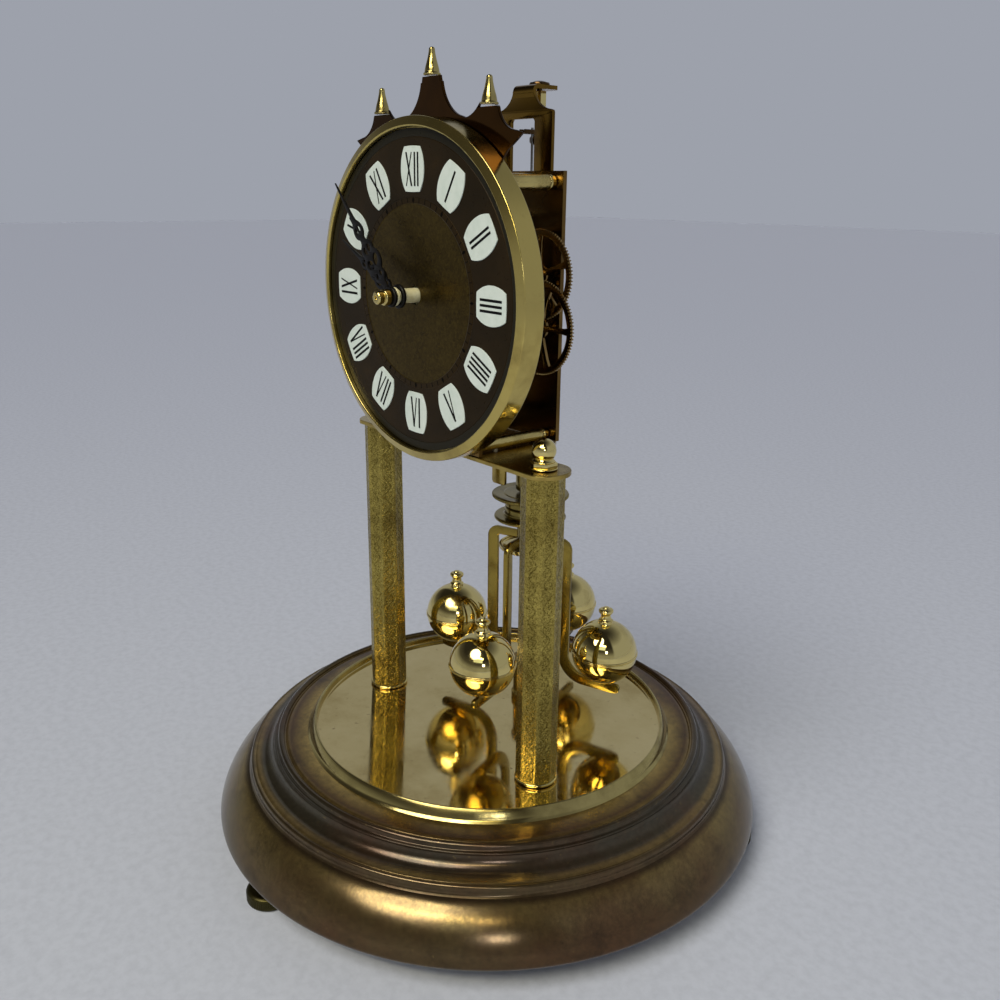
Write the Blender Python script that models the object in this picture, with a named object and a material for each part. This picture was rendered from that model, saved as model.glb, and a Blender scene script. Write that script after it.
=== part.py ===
"""Anniversary clock: a 400-day torsion-pendulum clock on a round stepped base.

Metres, +Z up, the dial faces -Y. The origin is the point on the ground below the base's centre.
Each function below makes one sub-part, and every size comes from the named values.
"""

import math

import bpy
import bmesh
from mathutils import Matrix, Vector
from mathutils.geometry import delaunay_2d_cdt

TURN = 2.0 * math.pi
QUARTER = TURN / 4.0
CDT_WHOLE_HULL = 0
CDT_MERGE = 0.0000001
MERGE_DISTANCE = 0.000002

# Clearances
SEAT_GAP = 0.0002
HOLE_CLEARANCE = 0.0003
PIVOT_CLEARANCE = 0.00015
CUT_OVERRUN = 0.001

# Base shell
BASE_RADIUS = 0.095
BASE_WIDEST_HEIGHT = 0.0105
BASE_RIM_HEIGHT = 0.005
BASE_WALL = 0.0012
BASE_FLANGE_INSET = 0.0158
BASE_CHAMFER_WIDTH = 0.00925
BASE_ROLL_RADIUS = 0.0019
BASE_ROLL_ANGLE = math.radians(65.0)
BASE_TORUS_WIDTH = 0.0107
BASE_TORUS_TOP_SHARE = 0.677
# Torus from its top to its widest place: (share of its width, share of its rise)
BASE_TORUS_SHARES = (
    (0.0, 1.0), (0.15, 0.938), (0.308, 0.849), (0.458, 0.74), (0.598, 0.61), (0.729, 0.459),
    (0.841, 0.308), (0.93, 0.164), (0.981, 0.068), (1.0, 0.0),
)
BASE_INNER_TORUS = (7, 4, 2, 0)
BASE_SEGMENTS = 40
# Steps between deck and torus: (share of the way out, share of the way up)
BASE_STEP_SHARES = (
    (0.0, 1.0), (0.245, 0.987), (0.26, 0.968), (0.282, 1.0), (0.311, 1.012), (0.343, 0.993),
    (0.352, 0.953), (0.381, 0.949), (0.41, 0.865), (0.521, 0.798), (0.6, 0.785), (0.63, 0.735),
)
BASE_INNER_STEPS = (7, 9)

# Deck
DECK_RADIUS = 0.0606
DECK_THICKNESS = 0.001
DECK_TOP = 0.036
BEAD_RADIUS = 0.0013

# Levelling feet
FOOT_INSET = 0.0075
FOOT_ORBIT = BASE_RADIUS - FOOT_INSET
FOOT_TURN = math.radians(2.0)
FOOT_SPREAD = math.radians(126.5)
FOOT_FIRST_ANGLE = -QUARTER - FOOT_TURN
FOOT_RADIUS = 0.0076
FOOT_HEIGHT = 0.0046
FOOT_CHAMFER = 0.0006
FOOT_STEM_RADIUS = 0.0016
FOOT_STEM_LENGTH = 0.0065

# Pillars
PILLAR_RIM_INSET = 0.00834
PILLAR_Y = -0.01485
PILLAR_RADIUS = 0.0065
PILLAR_SIDES = 8
PILLAR_HEIGHT = 0.1009
PILLAR_TOP = DECK_TOP + SEAT_GAP + PILLAR_HEIGHT
PILLAR_RING_HEIGHT = 0.0009
PILLAR_RING_PROUD = 0.0003
SPIGOT_RADIUS = 0.002
SPIGOT_LENGTH = 0.0052
STUD_RADIUS = 0.0015
STUD_LENGTH = 0.0055

# Pillar nuts
NUT_BALL_RADIUS = 0.0036
NUT_HEX_RADIUS = 0.0042
NUT_HEX_HEIGHT = 0.002
NUT_NECK_RADIUS = 0.003
NUT_HEIGHT = 0.0089

# Platform
PLATFORM_THICKNESS = 0.0014
PLATFORM_EAR_RADIUS = 0.0081
PLATFORM_FRONT_MARGIN = 0.0002
PLATFORM_REAR_INSET = 0.0012
PLATFORM_EAR_END = math.radians(150.0)
PLATE_BOTTOM = PILLAR_TOP + PLATFORM_THICKNESS + 2.0 * SEAT_GAP

# Train: places on the plates, tooth counts and sizes
BARREL_X = -0.0042
BARREL_DROP = 0.0214
BARREL_FLOOR_GAP = 0.004535
FIRST_ARBOR_X = 0.0166
FIRST_ARBOR_DROP = 0.0105
SECOND_ARBOR_X = 0.0142
THIRD_ARBOR_ANGLE = math.radians(125.0)
BARREL_TEETH = 72
FIRST_PINION_LEAVES = 12
FIRST_WHEEL_TEETH = 90
SECOND_PINION_LEAVES = 10
SECOND_WHEEL_TEETH = 84
CENTRE_PINION_LEAVES = 10
CENTRE_WHEEL_TEETH = 48
THIRD_PINION_LEAVES = 8
THIRD_WHEEL_TEETH = 40
ESCAPE_PINION_LEAVES = 10
ESCAPE_WHEEL_TEETH = 20
FIRST_MODULE = 0.000318
CENTRE_MODULE = 0.00034
THIRD_MODULE = 0.00032
ADDENDUM_SHARE = 0.78
DEDENDUM_SHARE = 1.3
WHEEL_TIP_SHARE = 0.2
PINION_TIP_SHARE = 0.16
ARBOR_RADIUS = 0.0008
PIVOT_RADIUS = 0.00045
WHEEL_THICKNESS = 0.001
PINION_OVERLAP = 0.0006
ARBOR_SEGMENTS = 10
SECOND_WHEEL_GAP = 0.0025
FIRST_WHEEL_STEP = 0.0019
THIRD_WHEEL_STEP = 0.0027
CENTRE_WHEEL_STEP = 0.003
BARREL_RING_STEP = 0.0028
ESCAPE_WHEEL_STEP = 0.0042
DRUM_DEPTH = 0.0163
DRUM_FRONT_GAP = 0.0011
ARBOR_END_SHAKE = 0.0002
SPOKE_COUNT = 5
SPOKE_WIDTH = 0.0016
RIM_SHARE = 0.86
HUB_SHARE = 0.24
BARREL_ARBOR_SPAN = math.dist((BARREL_X, -BARREL_DROP), (FIRST_ARBOR_X, -FIRST_ARBOR_DROP))
BARREL_MODULE = 2.0 * BARREL_ARBOR_SPAN / (BARREL_TEETH + FIRST_PINION_LEAVES)
BARREL_TIP_RADIUS = BARREL_MODULE * (BARREL_TEETH / 2.0 + ADDENDUM_SHARE)
DIAL_CENTRE_Z = PLATE_BOTTOM + BARREL_FLOOR_GAP + BARREL_TIP_RADIUS + BARREL_DROP
BARREL_Z = DIAL_CENTRE_Z - BARREL_DROP
FIRST_ARBOR_Z = DIAL_CENTRE_Z - FIRST_ARBOR_DROP

# Movement frame
PLATE_THICKNESS = 0.0015
PLATE_ARBOR_MARGIN = 0.004
PLATE_HALF_WIDTH = FIRST_ARBOR_X + PLATE_ARBOR_MARGIN
PLATE_TOP_RISE = 0.0355
PLATE_TOP = DIAL_CENTRE_Z + PLATE_TOP_RISE
PLATE_HEIGHT = PLATE_TOP - PLATE_BOTTOM
PLATFORM_REAR_HALF_WIDTH = PLATE_HALF_WIDTH - PLATFORM_REAR_INSET
BACK_PLATE_FACE = 0.0111
SECOND_WHEEL_Y = BACK_PLATE_FACE - PLATE_THICKNESS - SECOND_WHEEL_GAP
FIRST_WHEEL_Y = SECOND_WHEEL_Y - FIRST_WHEEL_STEP
THIRD_WHEEL_Y = FIRST_WHEEL_Y - THIRD_WHEEL_STEP
CENTRE_WHEEL_Y = THIRD_WHEEL_Y - CENTRE_WHEEL_STEP
BARREL_RING_Y = CENTRE_WHEEL_Y - BARREL_RING_STEP
ESCAPE_WHEEL_Y = BARREL_RING_Y - ESCAPE_WHEEL_STEP
DRUM_FRONT_Y = BARREL_RING_Y - DRUM_DEPTH
FRONT_PLATE_FACE = DRUM_FRONT_Y - DRUM_FRONT_GAP - PLATE_THICKNESS
POST_RADIUS = 0.00235
POST_SIDE_INSET = 0.0046
POST_X = PLATE_HALF_WIDTH - POST_SIDE_INSET
POST_INSET = 0.0033
POST_LOW_RADIUS = 0.0019
POST_LOW_RISE = 0.002
POST_SPIGOT_RADIUS = 0.0011
PLATFORM_SCREW_RADIUS = 0.0009
PLATFORM_SCREW_HEAD_RADIUS = 0.0022
PLATFORM_SCREW_HEAD_HEIGHT = 0.0012
PLATFORM_SCREW_REACH = 0.0018
POST_ROD_SCREW_INSET = 0.0102
POST_ROD_SCREW_Y = FRONT_PLATE_FACE + POST_ROD_SCREW_INSET

# Dial, bezel and crown
DIAL_STANDOFF = 0.00785
DIAL_FACE = FRONT_PLATE_FACE - DIAL_STANDOFF
DIAL_RADIUS = 0.0463
DIAL_THICKNESS = 0.0008
DIAL_FOOT_RADIUS = 0.001
DIAL_FOOT_X = 0.015
DIAL_FOOT_RISE = 0.0106
DIAL_HOLE_RADIUS = 0.0028
BEZEL_WIDTH = 0.0032
BEZEL_RADIUS = DIAL_RADIUS + BEZEL_WIDTH
PILLAR_X = BEZEL_RADIUS - PILLAR_RIM_INSET
BEZEL_LIP = 0.0016
BEZEL_WALL = 0.0009
BEZEL_BACK_GAP = 0.0003
BEZEL_LEDGE = 0.0016
BEZEL_SEGMENTS = 40
CROWN_THICKNESS = 0.001
BEZEL_BACK = FRONT_PLATE_FACE - SEAT_GAP - CROWN_THICKNESS - BEZEL_BACK_GAP
CROWN_PROUD = 0.0105
CROWN_HEIGHT = BEZEL_RADIUS + CROWN_PROUD
CROWN_SIDE_INSET = 0.0104
CROWN_HALF_WIDTH = BEZEL_RADIUS - CROWN_SIDE_INSET
# Right half of the crown's outline, as shares of its half width and of its height above the dial centre
CROWN_OUTLINE_SHARES = (
    (0.102, 1.0), (0.125, 0.945), (0.18, 0.884), (0.26, 0.836), (0.35, 0.814), (0.44, 0.818),
    (0.505, 0.834), (0.54, 0.851), (0.737, 0.851), (0.765, 0.808), (0.83, 0.767), (0.91, 0.745),
    (1.0, 0.736), (0.93, 0.708), (0.84, 0.665), (0.77, 0.61), (0.64, 0.66), (0.5, 0.695),
    (0.39, 0.70), (0.39, 0.44), (0.3, 0.425),
)
CROWN_HOLE_SHARE = 0.5
CROWN_SIDE_SPIRE_SHARE = 0.642
CROWN_SIDE_TOP_SHARE = 0.851
FINIAL_HEIGHT = 0.0076
FINIAL_RADIUS = 0.0025
# Turned finial, from its foot to its tip: (share of the radius, share of the height)
FINIAL_PROFILE_SHARES = (
    (1.0, 0.0), (1.0, 0.08), (0.86, 0.14), (0.76, 0.25), (0.66, 0.38), (0.56, 0.52), (0.47, 0.65),
    (0.36, 0.88), (0.17, 1.0),
)
FINIAL_SEGMENTS = 10

# Mainspring barrel and winding work
DRUM_WALL = 0.0007
DRUM_FLOOR = 0.001
DRUM_RIM_SHARE = 0.93
CAP_THICKNESS = 0.0008
WINDING_RADIUS = 0.0018
WINDING_HUB_RADIUS = 0.0028
WINDING_SQUARE = 0.003
WINDING_REACH = 0.0047
WINDING_END_Y = BACK_PLATE_FACE + WINDING_REACH
SPRING_TURNS = 5
SPRING_STEPS_PER_TURN = 12
SPRING_THICKNESS = 0.0004
SPRING_MARGIN = 0.0006
SPRING_SIDE_GAP = 0.0008
RATCHET_TEETH = 24
RATCHET_RADIUS = 0.0066
RATCHET_DEPTH = 0.0008
RATCHET_RAKE_SHARE = 0.12
RATCHET_THICKNESS = 0.0012
CLICK_PLACE_ANGLE = math.radians(62.0)
CLICK_TILT = math.radians(20.0)
CLICK_LENGTH = 0.0065
CLICK_BOSS_RADIUS = 0.0016
CLICK_STUD_RADIUS = 0.0007
CLICK_TAIL = 0.003
CLICK_WIDTH = 0.0016
CLICK_CLEARANCE = 0.00025
CLICK_SPRING_THICKNESS = 0.0003
CLICK_SPRING_LENGTH = 0.01
CLICK_SPRING_LEVER = 0.0016
CLICK_SPRING_GAP = 0.0003
CLICK_SPRING_SLOPE = math.radians(35.0)
CLICK_SPRING_FOOT_RADIUS = 0.0014

# Escapement and fork
ESCAPE_RADIUS = 0.006
ESCAPE_TOOTH_DEPTH = 0.0013
ANCHOR_RISE = 0.009
ANCHOR_GAP = 0.0007
ANCHOR_ARM_WIDTH = 0.0012
ANCHOR_SPAN_SHARE = 0.86
ANCHOR_BOSS_SHARE = 2.2
PIN_RADIUS = 0.0004
PIN_PAST_FORK = 0.0025
FORK_RISE = 0.0103
FORK_Z = PLATE_TOP + FORK_RISE
PIN_TOP_Z = FORK_Z + PIN_PAST_FORK
FORK_RADIUS = 0.0018
FORK_HEIGHT = 0.0034
FORK_TINE_HEIGHT = 0.0014
FORK_TINE_WIDTH = 0.0006
FORK_TINE_REACH = 0.0068
FORK_SLOT_WIDTH = 0.0006
FORK_PIN_CLEARANCE = 0.00035

# Motion work
CANNON_LEAVES = 10
MINUTE_WHEEL_TEETH = 30
MINUTE_PINION_LEAVES = 8
HOUR_WHEEL_TEETH = 32
MOTION_DISTANCE = 0.0066
MOTION_ANGLE = math.radians(205.0)
CANNON_TEETH_GAP = 0.0012
HOUR_TEETH_STEP = 0.0028
CANNON_TEETH_Y = FRONT_PLATE_FACE - CANNON_TEETH_GAP
HOUR_TEETH_Y = CANNON_TEETH_Y - HOUR_TEETH_STEP
CANNON_RADIUS = 0.0011
CANNON_BORE_CLEARANCE = 0.00012
CENTRE_FRONT_RADIUS = 0.0006
HOUR_PIPE_RADIUS = 0.00215
MINUTE_STUD_RADIUS = 0.0007

# Hands
MINUTE_HAND_LENGTH = 0.042
HOUR_HAND_LENGTH = 0.033
HOUR_HAND_STANDOFF = 0.00575
MINUTE_HAND_STEP = 0.0027
HOUR_HAND_Y = DIAL_FACE - HOUR_HAND_STANDOFF
MINUTE_HAND_Y = HOUR_HAND_Y - MINUTE_HAND_STEP
HAND_THICKNESS = 0.0005
MINUTE_COLLAR_RADIUS = 0.003
HOUR_COLLAR_RADIUS = 0.0035
HAND_COLLAR_HEIGHT = 0.0012
HAND_NUT_RADIUS = 0.00235
HAND_NUT_REACH = 0.0053
HAND_NUT_Y = MINUTE_HAND_Y - HAND_NUT_REACH
SHOWN_MINUTE = 53.0
SHOWN_HOUR = 9.0
# Right side of a hand, from its boss to its tip: (share of the length, share of the length aside)
HAND_OUTLINE_SHARES = (
    (0.17, 0.03), (0.25, 0.075), (0.36, 0.09), (0.45, 0.062), (0.52, 0.03), (0.6, 0.052),
    (0.67, 0.026), (0.8, 0.016), (1.0, 0.004),
)
HAND_PIERCING_SHARES = (
    (0.235, 0.012), (0.27, 0.045), (0.35, 0.058), (0.43, 0.035), (0.47, 0.01),
)

# Suspension
BRACKET_SEAT_GAP = 0.0003
BRACKET_FACE = BACK_PLATE_FACE + BRACKET_SEAT_GAP
PENDULUM_OFFSET = 0.00677
PENDULUM_Y = BRACKET_FACE + PENDULUM_OFFSET
PIN_OFFSET = 0.0026
PIN_Y = PENDULUM_Y - PIN_OFFSET
BRACKET_THICKNESS = 0.0012
BRACKET_WINDOW_HALF = 0.0054
BRACKET_HALF_WIDTH = 0.0132
BRACKET_RISE = 0.0249
BRACKET_TOP = PLATE_TOP + BRACKET_RISE
BRACKET_NECK_HALF = 0.0046
BRACKET_SWEEP_SHARE = 0.72
BRACKET_LAP = 0.0114
BRACKET_FOOT_Z = PLATE_TOP - BRACKET_LAP
BRACKET_SHOULDER_DROP = 0.0076
BRACKET_SHOULDER_Z = BRACKET_TOP - BRACKET_SHOULDER_DROP
BRACKET_WINDOW_DROP = 0.0098
BRACKET_WINDOW_TOP = BRACKET_TOP - BRACKET_WINDOW_DROP
BRACKET_TAB_MARGIN = 0.00423
BRACKET_TAB_REACH = PENDULUM_Y + BRACKET_TAB_MARGIN
BRACKET_SCREW_RADIUS = 0.001
BRACKET_SCREW_RISE = 0.0035
BRACKET_SCREW_Z = BRACKET_FOOT_Z + BRACKET_SCREW_RISE
SADDLE_RADIUS = 0.0032
SADDLE_HEIGHT = 0.0013
SADDLE_STEM_RADIUS = 0.0009
TOP_BLOCK_WIDTH = 0.0038
TOP_BLOCK_DEPTH = 0.0022
TOP_BLOCK_HEIGHT = 0.0054
TOP_BLOCK_BOTTOM = BRACKET_TOP - BRACKET_THICKNESS - SEAT_GAP - TOP_BLOCK_HEIGHT
TOP_BLOCK_HOLE_RADIUS = 0.0006
RIBBON_WIDTH = 0.0012
RIBBON_THICKNESS = 0.00012

# Guard bracket below the platform
GUARD_THICKNESS = 0.001
GUARD_LEG_INNER = 0.0048
GUARD_LEG_OUTER = 0.0115
GUARD_LEG_DROP = 0.0193
GUARD_BOTTOM = PILLAR_TOP - GUARD_LEG_DROP
GUARD_INSET = 0.0008
GUARD_Y = BACK_PLATE_FACE - GUARD_INSET
GUARD_SCREW_RADIUS = 0.0009

# Guide cup
CUP_RADIUS = 0.0055
CUP_HEIGHT = 0.0161
CUP_TOP = DECK_TOP + SEAT_GAP + CUP_HEIGHT
CUP_BORE = 0.0034
CUP_FLOOR_RISE = 0.0025
CUP_FLOOR = DECK_TOP + CUP_FLOOR_RISE
CUP_SPIGOT_RADIUS = 0.0016

# Pendulum
HOOK_RADIUS = 0.0052
HOOK_DROP = 0.0137
HOOK_HEIGHT = 0.0073
HOOK_TOP = PILLAR_TOP + SEAT_GAP - HOOK_DROP
HOOK_BOTTOM = HOOK_TOP - HOOK_HEIGHT
BOTTOM_BLOCK_WIDTH = 0.0036
BOTTOM_BLOCK_DEPTH = 0.002
BOTTOM_BLOCK_HEIGHT = 0.004
HOOK_SLOT_GAP = 0.0003
RATING_RADIUS = 0.0134
RATING_GAP = 0.0009
RATING_TOP = HOOK_BOTTOM - RATING_GAP
RATING_THICKNESS = 0.0014
WAIST_RADIUS = 0.0089
WAIST_DROP = 0.0049
WAIST_JOINT_Z = RATING_TOP - WAIST_DROP
HUB_FLANGE_RADIUS = 0.0126
HUB_FLANGE_DROP = 0.0031
HUB_FLANGE_TOP = WAIST_JOINT_Z - HUB_FLANGE_DROP
HUB_FLANGE_THICKNESS = 0.0014
HUB_CORE_RADIUS = 0.0044
HUB_CORE_LENGTH = 0.0112
HUB_CORE_BOTTOM = HUB_FLANGE_TOP - HUB_CORE_LENGTH
HUB_NECK_RADIUS = 0.0026
HUB_NECK_LENGTH = 0.0027
HUB_NECK_BOTTOM = HUB_CORE_BOTTOM - HUB_NECK_LENGTH
SPINDLE_RADIUS = 0.0018
ROD_RADIUS = 0.0012
ROD_END_GAP = 0.0025
ROD_BOTTOM = CUP_FLOOR + ROD_END_GAP
DISH_RADIUS = 0.0107
DISH_GAP = 0.0004
DISH_TOP = HUB_CORE_BOTTOM - DISH_GAP
DISH_THICKNESS = 0.0008
DISH_LIP = 0.0008
FRAME_THICKNESS = 0.0014
FRAME_DROP = 0.0068
FRAME_TOP = HUB_FLANGE_TOP - FRAME_DROP
FRAME_BAR_HEIGHT = 0.0029
FRAME_OUTER = 0.0168
FRAME_LEG_WIDTH = 0.004
FRAME_CORNER = 0.0036
FRAME_LEG_DROP = 0.0045
FRAME_TIP_REACH = 0.00624
FRAME_HOOK_HEIGHT = 0.0036
BALL_RADIUS = 0.0113
BALL_LEG_GAP = 0.00266
BALL_ORBIT = FRAME_OUTER + BALL_LEG_GAP + BALL_RADIUS
BALL_RISE = 0.0265
BALL_CENTRE_Z = DECK_TOP + BALL_RISE
FRAME_LEG_BOTTOM = BALL_CENTRE_Z - FRAME_LEG_DROP
FRAME_TIP_RADIUS = BALL_ORBIT + FRAME_TIP_REACH
BALL_ANGLE = math.radians(18.3)
BALL_COUNT = 4
BALL_SEGMENTS = 16
BALL_RINGS = 8
BALL_SEAM_PROUD = 0.00015
BALL_FINIAL_HEIGHT = 0.0058
BALL_FINIAL_RADIUS = 0.00245
# Turned knob on a ball, from its foot to its top
BALL_FINIAL_SHARES = (
    (1.0, 0.0), (1.0, 0.16), (0.58, 0.4), (0.95, 0.82), (0.45, 1.0),
)

# Finishes: base colour, roughness, metallic
FINISHES = {
    "polished_brass": ((0.78, 0.60, 0.24), 0.18, 1.0),
    "satin_brass": ((0.62, 0.47, 0.20), 0.38, 1.0),
    "brown_lacquer": ((0.24, 0.16, 0.08), 0.35, 0.85),
    "dark_bronze": ((0.16, 0.11, 0.06), 0.35, 1.0),
    "steel": ((0.42, 0.42, 0.42), 0.3, 1.0),
    "blackened_steel": ((0.015, 0.014, 0.013), 0.4, 0.6),
    "dial_brown": ((0.05, 0.032, 0.02), 0.5, 0.2),
}


def finish_material(finish):
    """Return the Principled material of a finish, made once."""
    found = bpy.data.materials.get(finish)
    if found:
        return found
    colour, roughness, metallic = FINISHES[finish]
    made = bpy.data.materials.new(finish)
    made.use_nodes = True
    shader = made.node_tree.nodes["Principled BSDF"]
    shader.inputs["Base Color"].default_value = (*colour, 1.0)
    shader.inputs["Roughness"].default_value = roughness
    shader.inputs["Metallic"].default_value = metallic
    return made


def arc(centre, radius, start, end, steps):
    """Points along an arc, both ends included, as pairs in the plane."""
    angles = [start + (end - start) * step / steps for step in range(steps + 1)]
    return [(centre[0] + radius * math.cos(a), centre[1] + radius * math.sin(a)) for a in angles]


def ellipse_arc(centre, half_width, half_height, start, end, steps):
    """Points along an upright ellipse, both ends included."""
    angles = [start + (end - start) * step / steps for step in range(steps + 1)]
    return [(centre[0] + half_width * math.cos(a), centre[1] + half_height * math.sin(a)) for a in angles]


def circle(radius, count, centre=(0.0, 0.0), start=0.0):
    """Points round a full circle, the first one not repeated."""
    return arc(centre, radius, start, start + TURN * (count - 1) / count, count - 1)


def mirrored(points):
    """A closed outline from its right half, given from top to bottom."""
    return list(points) + [(-x, y) for x, y in reversed(points)]


def along(axis, pair, height):
    """A point whose plane coordinates are a pair and whose height lies along an axis."""
    if axis == "Y":
        return (pair[0], height, pair[1])
    return (pair[0], pair[1], height)


def lathe(profile, segments, axis="Z", centre=(0.0, 0.0), start=0.0):
    """Turn a closed profile of (radius, height) pairs round an axis through a centre."""
    turned = bmesh.new()
    rings = []
    for radius, height in profile:
        pairs = circle(radius, segments, centre, start) if radius else [centre]
        rings.append([turned.verts.new(along(axis, pair, height)) for pair in pairs])
    heights = [height for _, height in profile]
    following_heights = heights[1:] + heights[:1]
    for low, high, height, next_height in zip(rings, rings[1:] + rings[:1], heights, following_heights):
        if len(low) == len(high) == 1:
            continue
        if len(low) + len(high) == segments + 1 and height == next_height:
            turned.faces.new(max(low, high, key=len))
            continue
        for index in range(segments):
            following = (index + 1) % segments
            ends = [low[index % len(low)], low[following % len(low)]]
            ends += [high[following % len(high)], high[index % len(high)]]
            turned.faces.new(list(dict.fromkeys(ends)))
    bmesh.ops.delete(turned, geom=[v for v in turned.verts if not v.link_faces], context="VERTS")
    bmesh.ops.recalc_face_normals(turned, faces=turned.faces)
    return turned


def enclosed(point, corners, sides):
    """Whether a point lies inside an outline and outside its holes, by counting crossed sides."""
    crossings = 0
    for start, end in ((corners[first], corners[second]) for first, second in sides):
        if (start.y > point.y) != (end.y > point.y):
            crossing = start.x + (end.x - start.x) * (point.y - start.y) / (end.y - start.y)
            crossings += crossing > point.x
    return crossings % 2 == 1


def prism(outline, low, high, holes=(), axis="Y"):
    """A flat plate between two heights along an axis, with holes through it."""
    loops = [list(outline)] + [list(hole) for hole in holes]
    flat = [pair for loop in loops for pair in loop]
    plate = bmesh.new()
    bottom = [plate.verts.new(along(axis, pair, low)) for pair in flat]
    top = [plate.verts.new(along(axis, pair, high)) for pair in flat]
    sides = []
    for loop in loops:
        first, count = len(sides), len(loop)
        sides += [(first + index, first + (index + 1) % count) for index in range(count)]
    flat = [Vector(pair) for pair in flat]
    found = delaunay_2d_cdt(flat, sides, [], CDT_WHOLE_HULL, CDT_MERGE, True)
    for triangle in found[2]:
        corners = [found[3][index][0] for index in triangle]
        middle = sum((flat[index] for index in corners), Vector((0.0, 0.0))) / 3.0
        if not enclosed(middle, flat, sides):
            continue
        plate.faces.new([bottom[index] for index in corners])
        plate.faces.new([top[index] for index in corners])
    for here, following in sides:
        plate.faces.new([bottom[here], bottom[following], top[following], top[here]])
    bmesh.ops.recalc_face_normals(plate, faces=plate.faces)
    return plate


def box(low, high):
    """A plain block between two corners."""
    outline = [(low[0], low[1]), (high[0], low[1]), (high[0], high[1]), (low[0], high[1])]
    return prism(outline, low[2], high[2], axis="Z")


def disc(radius, low, high, segments, axis="Y", centre=(0.0, 0.0)):
    """A plain cylinder between two heights."""
    return lathe([(0.0, low), (radius, low), (radius, high), (0.0, high)], segments, axis, centre)


def turned_about(shape, angle, axis, point):
    """Turn a shape about an axis through a point."""
    spin = Matrix.Translation(point) @ Matrix.Rotation(angle, 4, axis) @ Matrix.Translation(-Vector(point))
    bmesh.ops.transform(shape, matrix=spin, verts=shape.verts)
    return shape


def to_object(name, shape):
    """Put a shape into a new object, and free the shape."""
    mesh = bpy.data.meshes.new(name)
    shape.to_mesh(mesh)
    shape.free()
    made = bpy.data.objects.new(name, mesh)
    bpy.context.collection.objects.link(made)
    return made


def joined(name, shapes, cuts):
    """Unite shapes and cut others away by exact Booleans, and return one object."""
    body = to_object(name, shapes[0])
    tools = []
    for shape, operation in [(s, "UNION") for s in shapes[1:]] + [(c, "DIFFERENCE") for c in cuts]:
        tool = to_object(name + "_tool", shape)
        modifier = body.modifiers.new("boolean", "BOOLEAN")
        modifier.object = tool
        modifier.operation = operation
        tools.append(tool)
    bpy.context.view_layer.update()
    result = bpy.data.meshes.new_from_object(body.evaluated_get(bpy.context.evaluated_depsgraph_get()))
    body.modifiers.clear()
    clean = bmesh.new()
    clean.from_mesh(result)
    bmesh.ops.remove_doubles(clean, verts=clean.verts, dist=MERGE_DISTANCE)
    bmesh.ops.dissolve_degenerate(clean, edges=clean.edges, dist=MERGE_DISTANCE)
    bmesh.ops.triangulate(clean, faces=clean.faces)
    clean.to_mesh(result)
    clean.free()
    body.data = result
    for tool in tools:
        bpy.data.objects.remove(tool)
    return body


def piece(name, finish, shapes, cuts=(), pivot=None, carrier=None):
    """Make one named piece of the clock, with its origin on its pivot and on its carrier."""
    made = joined(name, shapes, cuts) if len(shapes) > 1 or cuts else to_object(name, shapes[0])
    made.data.materials.clear()
    made.data.materials.append(finish_material(finish))
    made.data.shade_smooth()
    made.data.set_sharp_from_angle(angle=math.radians(35.0))
    origin = carrier.matrix_world.translation if carrier else Vector(pivot or (0.0, 0.0, 0.0))
    made.data.transform(Matrix.Translation(-origin))
    if carrier:
        made.parent = carrier
    else:
        made.location = origin
    return made


def axis_empty(name, point):
    """An empty on a joint's axis, which carries the pieces that move together."""
    made = bpy.data.objects.new(name, None)
    made.location = point
    bpy.context.collection.objects.link(made)
    bpy.context.view_layer.update()
    return made


def toothed(teeth, pitch_radius, module, phase, tip_share, centre):
    """Outline of a gear with one point at each gap's bottom and two at each tooth's tip."""
    pitch = TURN / teeth
    tip = pitch_radius + ADDENDUM_SHARE * module
    root = pitch_radius - DEDENDUM_SHARE * module
    points = []
    for tooth in range(teeth):
        middle = phase + tooth * pitch
        for radius, angle in (
            (tip, middle - tip_share * pitch / 2.0),
            (tip, middle + tip_share * pitch / 2.0),
            (root, middle + pitch / 2.0),
        ):
            points.append((centre[0] + radius * math.cos(angle), centre[1] + radius * math.sin(angle)))
    return points


def meshing_phase(centre, phase, teeth, other_centre, other_teeth):
    """Phase of the other gear that puts one of its gaps over the tooth that meets it."""
    line = math.atan2(other_centre[1] - centre[1], other_centre[0] - centre[0])
    return line + math.pi + math.pi / other_teeth - (phase - line) * teeth / other_teeth


def spoke_windows(centre, hub, rim, count, width, start):
    """Openings between the spokes of a wheel, with straight sides and a curved rim side."""
    windows = []
    for index in range(count):
        low = start + TURN * index / count
        high = low + TURN / count
        outer_inset = math.asin(width / 2.0 / rim)
        inner_inset = math.asin(width / 2.0 / hub)
        rim_side = arc(centre, rim, low + outer_inset, high - outer_inset, 4)
        hub_side = arc(centre, hub, high - inner_inset, low + inner_inset, 1)
        windows.append(rim_side + hub_side)
    return windows


def wheel_shapes(centre, wheel_y, teeth, module, phase, spoke_start):
    """The toothed disc of a wheel, with spokes."""
    radius = module * teeth / 2.0
    outline = toothed(teeth, radius, module, phase, WHEEL_TIP_SHARE, centre)
    windows = spoke_windows(
        centre, HUB_SHARE * radius, RIM_SHARE * radius, SPOKE_COUNT, SPOKE_WIDTH, spoke_start
    )
    half = WHEEL_THICKNESS / 2.0
    return prism(outline, wheel_y - half, wheel_y + half, windows)


def pinion_shape(centre, mate_y, leaves, module, phase):
    """A pinion that reaches a little past both faces of the wheel that it meets."""
    outline = toothed(leaves, module * leaves / 2.0, module, phase, PINION_TIP_SHARE, centre)
    half = WHEEL_THICKNESS / 2.0 + PINION_OVERLAP
    return prism(outline, mate_y - half, mate_y + half)


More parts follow.
